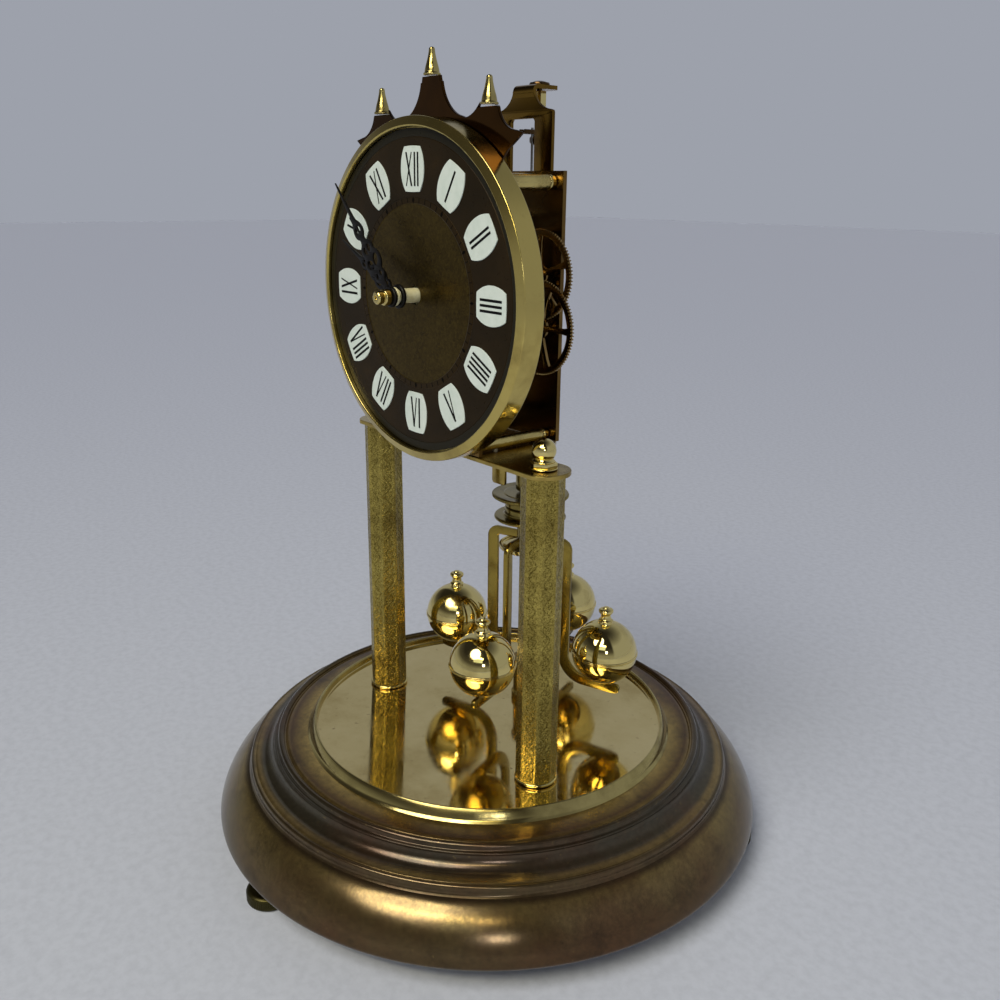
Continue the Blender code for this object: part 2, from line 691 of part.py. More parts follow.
def arbor_shape(centre, front, back, front_pivot=True, back_pivot=True, radius=ARBOR_RADIUS):
    """An arbor between two shoulders, with a thin pivot through each plate."""
    profile = [(0.0, front), (radius, front), (radius, back), (0.0, back)]
    if front_pivot:
        end = front - PLATE_THICKNESS - SEAT_GAP
        profile[0:1] = [(0.0, end), (PIVOT_RADIUS, end), (PIVOT_RADIUS, front)]
    if back_pivot:
        end = back + PLATE_THICKNESS + SEAT_GAP
        profile[-1:] = [(PIVOT_RADIUS, back), (PIVOT_RADIUS, end), (0.0, end)]
    return lathe(profile, ARBOR_SEGMENTS, "Y", centre)


class Train:
    """Places, modules and phases of the going train, each worked out from the one before."""

    def __init__(self):
        self.centre = (0.0, DIAL_CENTRE_Z)
        self.barrel = (BARREL_X, BARREL_Z)
        self.first = (FIRST_ARBOR_X, FIRST_ARBOR_Z)
        reach = FIRST_MODULE * (FIRST_WHEEL_TEETH + SECOND_PINION_LEAVES) / 2.0
        aside = FIRST_ARBOR_X - SECOND_ARBOR_X
        self.second = (SECOND_ARBOR_X, FIRST_ARBOR_Z + math.sqrt(reach ** 2 - aside ** 2))
        self.barrel_module = BARREL_MODULE
        self.second_module = 2.0 * math.dist(self.second, self.centre) / (
            SECOND_WHEEL_TEETH + CENTRE_PINION_LEAVES
        )
        third_reach = CENTRE_MODULE * (CENTRE_WHEEL_TEETH + THIRD_PINION_LEAVES) / 2.0
        self.third = arc(self.centre, third_reach, THIRD_ARBOR_ANGLE, THIRD_ARBOR_ANGLE, 1)[0]
        escape_reach = THIRD_MODULE * (THIRD_WHEEL_TEETH + ESCAPE_PINION_LEAVES) / 2.0
        self.escape = (0.0, self.third[1] + math.sqrt(escape_reach ** 2 - self.third[0] ** 2))
        self.anchor = (0.0, self.escape[1] + ANCHOR_RISE)
        self.minute = arc(self.centre, MOTION_DISTANCE, MOTION_ANGLE, MOTION_ANGLE, 1)[0]
        self.front = FRONT_PLATE_FACE + PLATE_THICKNESS + ARBOR_END_SHAKE
        self.back = BACK_PLATE_FACE - PLATE_THICKNESS - ARBOR_END_SHAKE


def base_step_points():
    """The outer steps of the base, from the deck outwards to the torus."""
    inner = DECK_RADIUS + 2.0 * BEAD_RADIUS + HOLE_CLEARANCE
    top = DECK_TOP - DECK_THICKNESS - HOLE_CLEARANCE
    out, up = BASE_RADIUS - inner, top - BASE_RIM_HEIGHT
    return [(inner + out * s, BASE_RIM_HEIGHT + up * t) for s, t in BASE_STEP_SHARES]


def base_torus(width, rise):
    """Points of the torus from its top to its widest place."""
    foot = BASE_RADIUS - BASE_TORUS_WIDTH
    return [(foot + width * s, BASE_WIDEST_HEIGHT + rise * t) for s, t in BASE_TORUS_SHARES]


def base_shell():
    """Spun base: stepped top, cove, big torus, rolled edge and a flange turned in underneath."""
    steps = base_step_points()
    top = steps[0][1]
    rise = BASE_RIM_HEIGHT + (top - BASE_RIM_HEIGHT) * BASE_TORUS_TOP_SHARE - BASE_WIDEST_HEIGHT
    roll_centre = (BASE_RADIUS - BASE_ROLL_RADIUS, BASE_WIDEST_HEIGHT)
    upper = base_torus(BASE_TORUS_WIDTH, rise)
    roll = arc(roll_centre, BASE_ROLL_RADIUS, 0.0, -BASE_ROLL_ANGLE, 3)[1:]
    rim_edge = BASE_RADIUS - BASE_CHAMFER_WIDTH
    flange_edge = BASE_RADIUS - BASE_FLANGE_INSET
    outer = [(0.0, top)] + steps + upper + roll
    outer += [(rim_edge, BASE_RIM_HEIGHT), (flange_edge, BASE_RIM_HEIGHT)]
    inner_edge = rim_edge - BASE_WALL * math.tan((QUARTER - BASE_ROLL_ANGLE) / 2.0)
    inner_floor = BASE_RIM_HEIGHT + BASE_WALL
    inner_roll = arc(roll_centre, BASE_ROLL_RADIUS - BASE_WALL, -BASE_ROLL_ANGLE, 0.0, 1)
    inner_torus = base_torus(BASE_TORUS_WIDTH - BASE_WALL, rise - BASE_WALL)
    inner_up = [inner_torus[index] for index in BASE_INNER_TORUS]
    corners = [
        (steps[index][0] - BASE_WALL, steps[index][1] - BASE_WALL) for index in reversed(BASE_INNER_STEPS)
    ]
    inner = [(flange_edge, inner_floor), (inner_edge, inner_floor)] + inner_roll + inner_up + corners
    profile = outer + inner + [(steps[0][0], top - BASE_WALL), (0.0, top - BASE_WALL)]
    low, high = top - BASE_WALL - CUT_OVERRUN, top + CUT_OVERRUN
    rim_low, rim_high = BASE_RIM_HEIGHT - CUT_OVERRUN, BASE_RIM_HEIGHT + 4.0 * BASE_WALL
    cuts = [
        disc(SPIGOT_RADIUS + HOLE_CLEARANCE, low, high, 12, "Z", (side * PILLAR_X, PILLAR_Y))
        for side in (-1, 1)
    ]
    cuts.append(disc(CUP_SPIGOT_RADIUS + HOLE_CLEARANCE, low, high, 12, "Z", (0.0, PENDULUM_Y)))
    for place in foot_places():
        cuts.append(disc(FOOT_STEM_RADIUS + HOLE_CLEARANCE, rim_low, rim_high, 12, "Z", place))
    piece(
        "base_shell", "brown_lacquer", [lathe(profile, BASE_SEGMENTS, start=TURN / BASE_SEGMENTS / 4.0)],
        cuts
    )


def base_deck():
    """Polished brass pan on the base, with a rolled bead round it."""
    bottom = DECK_TOP - DECK_THICKNESS
    bead = arc((DECK_RADIUS + BEAD_RADIUS, DECK_TOP + BEAD_RADIUS * 0.7), BEAD_RADIUS, math.pi, 0.0, 6)
    outer = DECK_RADIUS + 2.0 * BEAD_RADIUS
    profile = [(0.0, DECK_TOP), (DECK_RADIUS, DECK_TOP)] + bead + [(outer, bottom), (0.0, bottom)]
    low, high = bottom - CUT_OVERRUN, DECK_TOP + CUT_OVERRUN
    cuts = [
        disc(SPIGOT_RADIUS + HOLE_CLEARANCE, low, high, 12, "Z", (side * PILLAR_X, PILLAR_Y))
        for side in (-1, 1)
    ]
    cuts.append(disc(CUP_SPIGOT_RADIUS + HOLE_CLEARANCE, low, high, 12, "Z", (0.0, PENDULUM_Y)))
    piece("base_deck", "polished_brass", [lathe(profile, BASE_SEGMENTS)], cuts)


def foot_places():
    """Centres of the levelling feet."""
    angles = (FOOT_FIRST_ANGLE, FOOT_FIRST_ANGLE + FOOT_SPREAD, FOOT_FIRST_ANGLE - FOOT_SPREAD)
    return [(FOOT_ORBIT * math.cos(angle), FOOT_ORBIT * math.sin(angle)) for angle in angles]


def levelling_feet():
    """Knurled feet whose threaded stems pass through the base's flange."""
    for number, place in enumerate(foot_places(), 1):
        top = FOOT_HEIGHT + FOOT_STEM_LENGTH
        profile = [
            (0.0, 0.0), (FOOT_RADIUS - FOOT_CHAMFER, 0.0), (FOOT_RADIUS, FOOT_CHAMFER),
            (FOOT_RADIUS, FOOT_HEIGHT - FOOT_CHAMFER), (FOOT_RADIUS - FOOT_CHAMFER, FOOT_HEIGHT),
            (FOOT_STEM_RADIUS, FOOT_HEIGHT), (FOOT_STEM_RADIUS, top), (0.0, top),
        ]
        shape = lathe(profile, 16, "Z", place)
        piece(f"levelling_foot_{number}", "dark_bronze", [shape], pivot=(place[0], place[1], 0.0))


def guide_cup():
    """Cup on the deck that keeps the pendulum's pin in place."""
    bottom = DECK_TOP + SEAT_GAP
    spigot_end = DECK_TOP - SPIGOT_LENGTH
    profile = [
        (0.0, CUP_FLOOR), (CUP_BORE, CUP_FLOOR), (CUP_BORE, CUP_TOP), (CUP_RADIUS, CUP_TOP),
        (CUP_RADIUS, bottom), (CUP_SPIGOT_RADIUS, bottom),
        (CUP_SPIGOT_RADIUS, spigot_end), (0.0, spigot_end),
    ]
    piece("guide_cup", "satin_brass", [lathe(profile, 16, "Z", (0.0, PENDULUM_Y))])


def pillars():
    """Two eight-sided columns with a ring at the foot, a spigot below and a stud above."""
    for name, side in (("left", -1), ("right", 1)):
        centre = (side * PILLAR_X, PILLAR_Y)
        bottom = DECK_TOP + SEAT_GAP
        ring = PILLAR_RADIUS + PILLAR_RING_PROUD
        profile = [
            (0.0, DECK_TOP - SPIGOT_LENGTH),
            (SPIGOT_RADIUS, DECK_TOP - SPIGOT_LENGTH), (SPIGOT_RADIUS, bottom),
            (ring, bottom), (ring, bottom + PILLAR_RING_HEIGHT),
            (PILLAR_RADIUS, bottom + PILLAR_RING_HEIGHT + PILLAR_RING_PROUD),
            (PILLAR_RADIUS, PILLAR_TOP), (STUD_RADIUS, PILLAR_TOP),
            (STUD_RADIUS, PILLAR_TOP + STUD_LENGTH), (0.0, PILLAR_TOP + STUD_LENGTH),
        ]
        piece(f"pillar_{name}", "satin_brass", [lathe(profile, PILLAR_SIDES, "Z", centre)])


def platform_top():
    """Height of the platform's upper face."""
    return PILLAR_TOP + SEAT_GAP + PLATFORM_THICKNESS


def pillar_nuts():
    """Ball-headed nuts on the pillar studs, above the platform's ears."""
    for name, side in (("left", -1), ("right", 1)):
        centre = (side * PILLAR_X, PILLAR_Y)
        foot = platform_top() + SEAT_GAP
        bore = STUD_RADIUS + HOLE_CLEARANCE
        bore_top = PILLAR_TOP + STUD_LENGTH + HOLE_CLEARANCE
        ball_centre = (0.0, foot + NUT_HEIGHT - NUT_BALL_RADIUS)
        neck_z = foot + NUT_HEX_HEIGHT
        start = math.asin(NUT_NECK_RADIUS / NUT_BALL_RADIUS) - QUARTER
        ball = arc(ball_centre, NUT_BALL_RADIUS, start, QUARTER, 5)[:-1]
        top = foot + NUT_HEIGHT
        profile = [
            (bore, foot), (NUT_HEX_RADIUS, foot), (NUT_HEX_RADIUS, neck_z), (NUT_NECK_RADIUS, neck_z)
        ]
        profile += ball + [(0.0, top), (0.0, bore_top), (bore, bore_top)]
        piece(f"pillar_nut_{name}", "polished_brass", [lathe(profile, 14, "Z", centre)])


def platform():
    """Brass bridge between the pillar tops, with a round ear over each pillar."""
    front = FRONT_PLATE_FACE - PLATFORM_FRONT_MARGIN
    back = BACK_PLATE_FACE + PLATFORM_FRONT_MARGIN
    drop = math.asin((front - PILLAR_Y) / PLATFORM_EAR_RADIUS)
    ear = arc((PILLAR_X, PILLAR_Y), PLATFORM_EAR_RADIUS, drop, PLATFORM_EAR_END, 12)
    right = ear + [(PLATFORM_REAR_HALF_WIDTH, back)]
    outline = right + [(-x, y) for x, y in reversed(right)]
    hole = STUD_RADIUS + HOLE_CLEARANCE
    holes = [circle(hole, 12, (side * PILLAR_X, PILLAR_Y)) for side in (-1, 1)]
    screw = PLATFORM_SCREW_RADIUS + HOLE_CLEARANCE
    holes += [circle(screw, 8, (side * POST_X, POST_ROD_SCREW_Y)) for side in (-1, 1)]
    guard_y = GUARD_Y - GUARD_THICKNESS
    holes += [circle(GUARD_SCREW_RADIUS + HOLE_CLEARANCE, 8, (side * guard_middle(), guard_y)) for side in (-1, 1)]
    low = PILLAR_TOP + SEAT_GAP
    piece("platform", "satin_brass", [prism(outline, low, low + PLATFORM_THICKNESS, holes, "Z")])


def post_places():
    """Names and places of the four posts between the plates."""
    bottom = platform_top() + SEAT_GAP
    low, high = bottom + POST_LOW_RISE, bottom + PLATE_HEIGHT - POST_INSET
    return [
        ("lower_left", (-POST_X, low)), ("lower_right", (POST_X, low)),
        ("upper_left", (-POST_X, high)), ("upper_right", (POST_X, high)),
    ]


def movement_posts():
    """Round posts whose spigots pass through both plates; the lower ones take the platform's screws."""
    front = FRONT_PLATE_FACE + PLATE_THICKNESS + SEAT_GAP
    back = BACK_PLATE_FACE - PLATE_THICKNESS - SEAT_GAP
    ends = (FRONT_PLATE_FACE, BACK_PLATE_FACE)
    for name, place in post_places():
        radius = POST_LOW_RADIUS if name.startswith("lower") else POST_RADIUS
        profile = [
            (0.0, ends[0]), (POST_SPIGOT_RADIUS, ends[0]),
            (POST_SPIGOT_RADIUS, front), (radius, front),
            (radius, back), (POST_SPIGOT_RADIUS, back), (POST_SPIGOT_RADIUS, ends[1]), (0.0, ends[1]),
        ]
        cuts = []
        if name.startswith("lower"):
            low = place[1] - radius - CUT_OVERRUN
            high = platform_top() + PLATFORM_SCREW_REACH + HOLE_CLEARANCE
            screw_place = (place[0], POST_ROD_SCREW_Y)
            cuts = [disc(PLATFORM_SCREW_RADIUS + HOLE_CLEARANCE, low, high, 8, "Z", screw_place)]
        piece(f"post_{name}", "satin_brass", [lathe(profile, 12, "Y", place)], cuts)


def platform_screws():
    """Screws from below the platform into the lower posts."""
    for name, side in (("left", -1), ("right", 1)):
        head_top = PILLAR_TOP
        head_low = head_top - PLATFORM_SCREW_HEAD_HEIGHT
        top = platform_top() + PLATFORM_SCREW_REACH
        profile = [
            (0.0, head_low), (PLATFORM_SCREW_HEAD_RADIUS, head_low), (PLATFORM_SCREW_HEAD_RADIUS, head_top),
            (PLATFORM_SCREW_RADIUS, head_top), (PLATFORM_SCREW_RADIUS, top), (0.0, top),
        ]
        piece(
            f"platform_screw_{name}", "steel",
            [lathe(profile, 12, "Z", (side * POST_X, POST_ROD_SCREW_Y))]
        )


def plate_outline():
    """Corners of a movement plate."""
    low = platform_top() + SEAT_GAP
    high = low + PLATE_HEIGHT
    return [
        (-PLATE_HALF_WIDTH, low), (PLATE_HALF_WIDTH, low), (PLATE_HALF_WIDTH, high),
        (-PLATE_HALF_WIDTH, high)
    ]


def front_plate(train):
    """Front plate, bored for posts, pivots, the centre arbor and the dial's feet."""
    pivot = PIVOT_RADIUS + PIVOT_CLEARANCE
    holes = [circle(POST_SPIGOT_RADIUS + PIVOT_CLEARANCE, 10, place) for _, place in post_places()]
    holes += [
        circle(pivot, 8, place)
        for place in (train.first, train.second, train.third, train.escape, train.anchor)
    ]
    holes.append(circle(WINDING_RADIUS + PIVOT_CLEARANCE, 12, train.barrel))
    holes.append(circle(ARBOR_RADIUS + PIVOT_CLEARANCE, 10, train.centre))
    holes += [circle(DIAL_FOOT_RADIUS + PIVOT_CLEARANCE, 10, place) for place in dial_foot_places()]
    low, high = FRONT_PLATE_FACE, FRONT_PLATE_FACE + PLATE_THICKNESS
    stud = disc(MINUTE_STUD_RADIUS, minute_stud_end(), high - PLATE_THICKNESS / 2.0, 10, "Y", train.minute)
    piece("front_plate", "satin_brass", [prism(plate_outline(), low, high, holes), stud])


def back_plate(train):
    """Back plate, with a wider hole where the anchor's arbor passes through."""
    pivot = PIVOT_RADIUS + PIVOT_CLEARANCE
    holes = [circle(POST_SPIGOT_RADIUS + PIVOT_CLEARANCE, 10, place) for _, place in post_places()]
    holes += [
        circle(pivot, 8, place)
        for place in (train.first, train.second, train.centre, train.third, train.escape)
    ]
    holes.append(circle(WINDING_RADIUS + PIVOT_CLEARANCE, 12, train.barrel))
    holes.append(circle(ARBOR_RADIUS + PIVOT_CLEARANCE, 10, train.anchor))
    high = BACK_PLATE_FACE
    low = high - PLATE_THICKNESS
    stud_end = BACK_PLATE_FACE + SEAT_GAP + RATCHET_THICKNESS
    stud = disc(CLICK_STUD_RADIUS, low + PLATE_THICKNESS / 2.0, stud_end, 10, "Y", click_lie(train)[1])
    piece("back_plate", "satin_brass", [prism(plate_outline(), low, high, holes), stud])


def minute_stud_end():
    """Front end of the stud that the minute wheel turns on."""
    return HOUR_TEETH_Y - WHEEL_THICKNESS / 2.0 - PINION_OVERLAP


def dial_foot_places():
    """Where the dial's feet pass through the front plate."""
    height = DIAL_CENTRE_Z + DIAL_FOOT_RISE
    return [(-DIAL_FOOT_X, height), (DIAL_FOOT_X, height)]


def dial():
    """Dial disc with two feet that stand on the front plate's holes."""
    back = DIAL_FACE + DIAL_THICKNESS
    profile = [
        (DIAL_HOLE_RADIUS, DIAL_FACE), (DIAL_RADIUS, DIAL_FACE),
        (DIAL_RADIUS, back), (DIAL_HOLE_RADIUS, back),
    ]
    centre = (0.0, DIAL_CENTRE_Z)
    foot_end = FRONT_PLATE_FACE + PLATE_THICKNESS + SEAT_GAP
    feet = [
        disc(DIAL_FOOT_RADIUS, back - DIAL_THICKNESS / 2.0, foot_end, 10, "Y", place)
        for place in dial_foot_places()
    ]
    piece("dial", "dial_brown", [lathe(profile, BEZEL_SEGMENTS, "Y", centre)] + feet)


def bezel():
    """Drum round the dial, with a bevelled front lip and an inner ledge behind the dial."""
    inner = DIAL_RADIUS + SEAT_GAP
    front = DIAL_FACE - BEZEL_LIP
    ledge = DIAL_FACE + DIAL_THICKNESS + SEAT_GAP
    profile = [
        (inner, front + BEZEL_WALL / 2.0), (inner + BEZEL_WALL, front),
        (BEZEL_RADIUS, DIAL_FACE - BEZEL_WALL / 2.0),
        (BEZEL_RADIUS, BEZEL_BACK), (BEZEL_RADIUS - BEZEL_WALL, BEZEL_BACK),
        (BEZEL_RADIUS - BEZEL_WALL, ledge + BEZEL_WALL), (inner - BEZEL_LEDGE, ledge + BEZEL_WALL),
        (inner - BEZEL_LEDGE, ledge), (inner, ledge),
    ]
    piece("bezel", "polished_brass", [lathe(profile, BEZEL_SEGMENTS, "Y", (0.0, DIAL_CENTRE_Z))])


def crown():
    """Three-spired crown of sheet brass, held on the front plate behind the dial."""
    right = [(s * CROWN_HALF_WIDTH, DIAL_CENTRE_Z + t * CROWN_HEIGHT) for s, t in CROWN_OUTLINE_SHARES]
    high = FRONT_PLATE_FACE - SEAT_GAP
    piece("crown", "dark_bronze", [prism(mirrored(right), high - CROWN_THICKNESS, high)])


def crown_finials():
    """Turned finials on the three spires."""
    middle = FRONT_PLATE_FACE - SEAT_GAP - CROWN_THICKNESS / 2.0
    side = CROWN_SIDE_SPIRE_SHARE * CROWN_HALF_WIDTH
    places = (
        ("left", -side, CROWN_SIDE_TOP_SHARE), ("centre", 0.0, 1.0), ("right", side, CROWN_SIDE_TOP_SHARE)
    )
    for name, x, share in places:
        foot = DIAL_CENTRE_Z + share * CROWN_HEIGHT + SEAT_GAP
        profile = [(FINIAL_RADIUS * s, foot + FINIAL_HEIGHT * t) for s, t in FINIAL_PROFILE_SHARES]
        profile = [(0.0, foot)] + profile + [(0.0, foot + FINIAL_HEIGHT)]
        piece(f"crown_finial_{name}", "polished_brass", [lathe(profile, FINIAL_SEGMENTS, "Z", (x, middle))])


def barrel_and_spring(train):
    """Going barrel with its toothed ring, its cap and the mainspring inside."""
    centre, module = train.barrel, train.barrel_module
    pitch_radius = module * BARREL_TEETH / 2.0
    rim = pitch_radius * DRUM_RIM_SHARE
    ring_half = WHEEL_THICKNESS / 2.0
    back = BARREL_RING_Y + ring_half
    bore = WINDING_RADIUS + PIVOT_CLEARANCE
    inside = rim - DRUM_WALL
    floor = DRUM_FRONT_Y + DRUM_FLOOR
    drum = lathe([
        (bore, DRUM_FRONT_Y), (rim, DRUM_FRONT_Y), (rim, back),
        (inside, back), (inside, floor), (bore, floor),
    ], 32, "Y", centre)
    outline = toothed(BARREL_TEETH, pitch_radius, module, 0.0, WHEEL_TIP_SHARE, centre)
    hole = circle(rim - DRUM_WALL / 2.0, 32, centre)
    ring = prism(outline, BARREL_RING_Y - ring_half, back, [hole])
    pivot = axis_empty("barrel_axis", (centre[0], 0.0, centre[1]))
    piece("barrel", "dark_bronze", [drum, ring], carrier=pivot)
    cap_back = back - SEAT_GAP
    cap_front = cap_back - CAP_THICKNESS
    cap_radius = inside - HOLE_CLEARANCE
    cap = lathe(
        [(bore, cap_front), (cap_radius, cap_front), (cap_radius, cap_back), (bore, cap_back)], 32, "Y",
        centre
    )
    piece("barrel_cap", "satin_brass", [cap], carrier=pivot)
    outer_radius = inside - SPRING_MARGIN
    inner_radius = WINDING_HUB_RADIUS + SPRING_MARGIN
    steps = SPRING_TURNS * SPRING_STEPS_PER_TURN
    outer_side, inner_side = [], []
    for step in range(steps + 1):
        angle = TURN * step / SPRING_STEPS_PER_TURN
        radius = inner_radius + (outer_radius - inner_radius - SPRING_THICKNESS) * step / steps
        outer_side += arc(centre, radius + SPRING_THICKNESS, angle, angle, 1)[:1]
        inner_side += arc(centre, radius, angle, angle, 1)[:1]
    coil = spiral_strip(inner_side, outer_side, floor + SPRING_SIDE_GAP, cap_front - SPRING_SIDE_GAP)
    piece("mainspring", "steel", [coil], carrier=pivot)


def spiral_strip(inner_side, outer_side, low, high):
    """A strip on edge between two spirals of points, as one closed solid."""
    strip = bmesh.new()
    rows = []
    for inner, outer in zip(inner_side, outer_side):
        corners = ((inner, low), (outer, low), (outer, high), (inner, high))
        rows.append([strip.verts.new(along("Y", pair, height)) for pair, height in corners])
    for row, following in zip(rows, rows[1:]):
        for index in range(4):
            neighbour = (index + 1) % 4
            strip.faces.new([row[index], row[neighbour], following[neighbour], following[index]])
    strip.faces.new(rows[0])
    strip.faces.new(rows[-1])
    bmesh.ops.recalc_face_normals(strip, faces=strip.faces)
    return strip


def winding_work(train):
    """Winding arbor with its key square, ratchet wheel, click and click spring on the back plate."""
    centre = train.barrel
    floor = DRUM_FRONT_Y + DRUM_FLOOR + SPRING_SIDE_GAP
    hub_back = BARREL_RING_Y + WHEEL_THICKNESS / 2.0 - SEAT_GAP - CAP_THICKNESS - SPRING_SIDE_GAP
    front = FRONT_PLATE_FACE
    ratchet_low = BACK_PLATE_FACE + SEAT_GAP
    ratchet_high = ratchet_low + RATCHET_THICKNESS
    square_start = ratchet_low - SEAT_GAP / 2.0
    shaft = lathe([
        (0.0, front), (WINDING_RADIUS, front), (WINDING_RADIUS, floor), (WINDING_HUB_RADIUS, floor),
        (WINDING_HUB_RADIUS, hub_back), (WINDING_RADIUS, hub_back),
        (WINDING_RADIUS, square_start), (0.0, square_start),
    ], 16, "Y", centre)
    half = WINDING_SQUARE / 2.0
    corners = [(-half, -half), (half, -half), (half, half), (-half, half)]
    square = [(centre[0] + x, centre[1] + z) for x, z in corners]
    stem = prism(square, square_start - SEAT_GAP / 4.0, WINDING_END_Y)
    pivot = axis_empty("winding_axis", (centre[0], 0.0, centre[1]))
    piece("winding_arbor", "steel", [shaft, stem], carrier=pivot)
    grip = [
        (centre[0] + x * (1.0 + SEAT_GAP / half), centre[1] + z * (1.0 + SEAT_GAP / half)) for x,
        z in corners
    ]
    pitch = TURN / RATCHET_TEETH
    teeth = []
    for tooth in range(RATCHET_TEETH):
        teeth += arc(centre, RATCHET_RADIUS, tooth * pitch, tooth * pitch, 1)[:1]
        root = (tooth + RATCHET_RAKE_SHARE) * pitch
        teeth += arc(centre, RATCHET_RADIUS - RATCHET_DEPTH, root, root, 1)[:1]
    piece("ratchet_wheel", "steel", [prism(teeth, ratchet_low, ratchet_high, [grip])], carrier=pivot)
    click_and_spring(train, ratchet_low, ratchet_high)


def click_lie(train):
    """The click's tip, its pivot, and the directions along it and outwards from the wheel."""
    tip = arc(train.barrel, RATCHET_RADIUS + CLICK_CLEARANCE, CLICK_PLACE_ANGLE, CLICK_PLACE_ANGLE, 1)[0]
    lie = CLICK_PLACE_ANGLE - QUARTER + CLICK_TILT
    along_click = (math.cos(lie), math.sin(lie))
    outwards = (-along_click[1], along_click[0])
    pivot = shifted(tip, along_click, CLICK_LENGTH, outwards, 0.0)
    return tip, pivot, along_click, outwards


def shifted(point, first, first_distance, second, second_distance):
    """A point moved along two directions of the plane."""
    return (
        point[0] + first[0] * first_distance + second[0] * second_distance,
        point[1] + first[1] * first_distance + second[1] * second_distance,
    )


def click_and_spring(train, low, high):
    """Click on its stud beside the ratchet wheel, and the leaf spring that presses it down."""
    tip, pivot, ahead, outwards = click_lie(train)
    side = CLICK_WIDTH / 2.0
    outline = [
        tip, shifted(tip, ahead, side, outwards, side), shifted(pivot, ahead, 0.0, outwards, side),
        shifted(pivot, ahead, CLICK_TAIL, outwards, side / 2.0),
        shifted(pivot, ahead, CLICK_TAIL, outwards, -side / 2.0), shifted(
            pivot, ahead, 0.0, outwards, -side
        ),
    ]
    hole = disc(CLICK_STUD_RADIUS + PIVOT_CLEARANCE, low - CUT_OVERRUN, high + CUT_OVERRUN, 10, "Y", pivot)
    boss = disc(CLICK_BOSS_RADIUS, low, high, 12, "Y", pivot)
    blade = prism(outline, low + SEAT_GAP / 2.0, high - SEAT_GAP / 2.0)
    piece("click", "steel", [boss, blade], [hole], pivot=(pivot[0], 0.0, pivot[1]))
    start = shifted(pivot, ahead, -CLICK_SPRING_LEVER, outwards, side + CLICK_SPRING_GAP)
    slope = (math.cos(CLICK_SPRING_SLOPE), math.sin(CLICK_SPRING_SLOPE))
    along_leaf = shifted((0.0, 0.0), ahead, slope[0], outwards, slope[1])
    across_leaf = (-along_leaf[1], along_leaf[0])
    end = shifted(start, along_leaf, CLICK_SPRING_LENGTH, across_leaf, 0.0)
    leaf = prism([
        start, end, shifted(end, along_leaf, 0.0, across_leaf, CLICK_SPRING_THICKNESS),
        shifted(start, along_leaf, 0.0, across_leaf, CLICK_SPRING_THICKNESS),
    ], low + SEAT_GAP, high - SEAT_GAP)
    foot = disc(CLICK_SPRING_FOOT_RADIUS, low, high, 12, "Y", end)
    piece("click_spring", "steel", [foot, leaf])


def train_wheels(train):
    """The wheels between the plates, each on its arbor with its pinion."""
    front, back = train.front, train.back
    first_pinion = meshing_phase(train.barrel, 0.0, BARREL_TEETH, train.first, FIRST_PINION_LEAVES)
    piece("first_wheel", "dark_bronze", [
        arbor_shape(train.first, front, back),
        wheel_shapes(train.first, FIRST_WHEEL_Y, FIRST_WHEEL_TEETH, FIRST_MODULE, 0.0, 0.0),
        pinion_shape(train.first, BARREL_RING_Y, FIRST_PINION_LEAVES, train.barrel_module, first_pinion),
    ], pivot=(train.first[0], 0.0, train.first[1]))
    second_pinion = meshing_phase(train.first, 0.0, FIRST_WHEEL_TEETH, train.second, SECOND_PINION_LEAVES)
    piece("second_wheel", "dark_bronze", [
        arbor_shape(train.second, front, back),
        wheel_shapes(train.second, SECOND_WHEEL_Y, SECOND_WHEEL_TEETH, train.second_module, 0.0, QUARTER),
        pinion_shape(train.second, FIRST_WHEEL_Y, SECOND_PINION_LEAVES, FIRST_MODULE, second_pinion),
    ], pivot=(train.second[0], 0.0, train.second[1]))
    third_pinion = meshing_phase(train.centre, 0.0, CENTRE_WHEEL_TEETH, train.third, THIRD_PINION_LEAVES)
    piece("third_wheel", "satin_brass", [
        arbor_shape(train.third, front, back),
        wheel_shapes(train.third, THIRD_WHEEL_Y, THIRD_WHEEL_TEETH, THIRD_MODULE, 0.0, QUARTER),
        pinion_shape(train.third, CENTRE_WHEEL_Y, THIRD_PINION_LEAVES, CENTRE_MODULE, third_pinion),
    ], pivot=(train.third[0], 0.0, train.third[1]))
    escape_pinion = meshing_phase(train.third, 0.0, THIRD_WHEEL_TEETH, train.escape, ESCAPE_PINION_LEAVES)
    piece("escape_wheel", "polished_brass", [
        arbor_shape(train.escape, front, back),
        escape_disc(train.escape),
        pinion_shape(train.escape, THIRD_WHEEL_Y, ESCAPE_PINION_LEAVES, THIRD_MODULE, escape_pinion),
    ], pivot=(train.escape[0], 0.0, train.escape[1]))


def escape_disc(centre):
    """Escape wheel with thin raked teeth."""
    pitch = TURN / ESCAPE_WHEEL_TEETH
    outline = []
    for tooth in range(ESCAPE_WHEEL_TEETH):
        angle = tooth * pitch
        outline += arc(centre, ESCAPE_RADIUS, angle, angle, 1)[:1]
        outline += arc(centre, ESCAPE_RADIUS - ESCAPE_TOOTH_DEPTH, angle + pitch * 0.2, angle, 1)[:1]
        outline += arc(centre, ESCAPE_RADIUS - ESCAPE_TOOTH_DEPTH, angle + pitch * 0.7, angle, 1)[:1]
    hub = ESCAPE_RADIUS - ESCAPE_TOOTH_DEPTH - WHEEL_THICKNESS
    windows = spoke_windows(centre, ARBOR_RADIUS * 2.0, hub, SPOKE_COUNT - 1, WHEEL_THICKNESS, 0.0)
    half = WHEEL_THICKNESS / 2.0
    return prism(outline, ESCAPE_WHEEL_Y - half, ESCAPE_WHEEL_Y + half, windows)


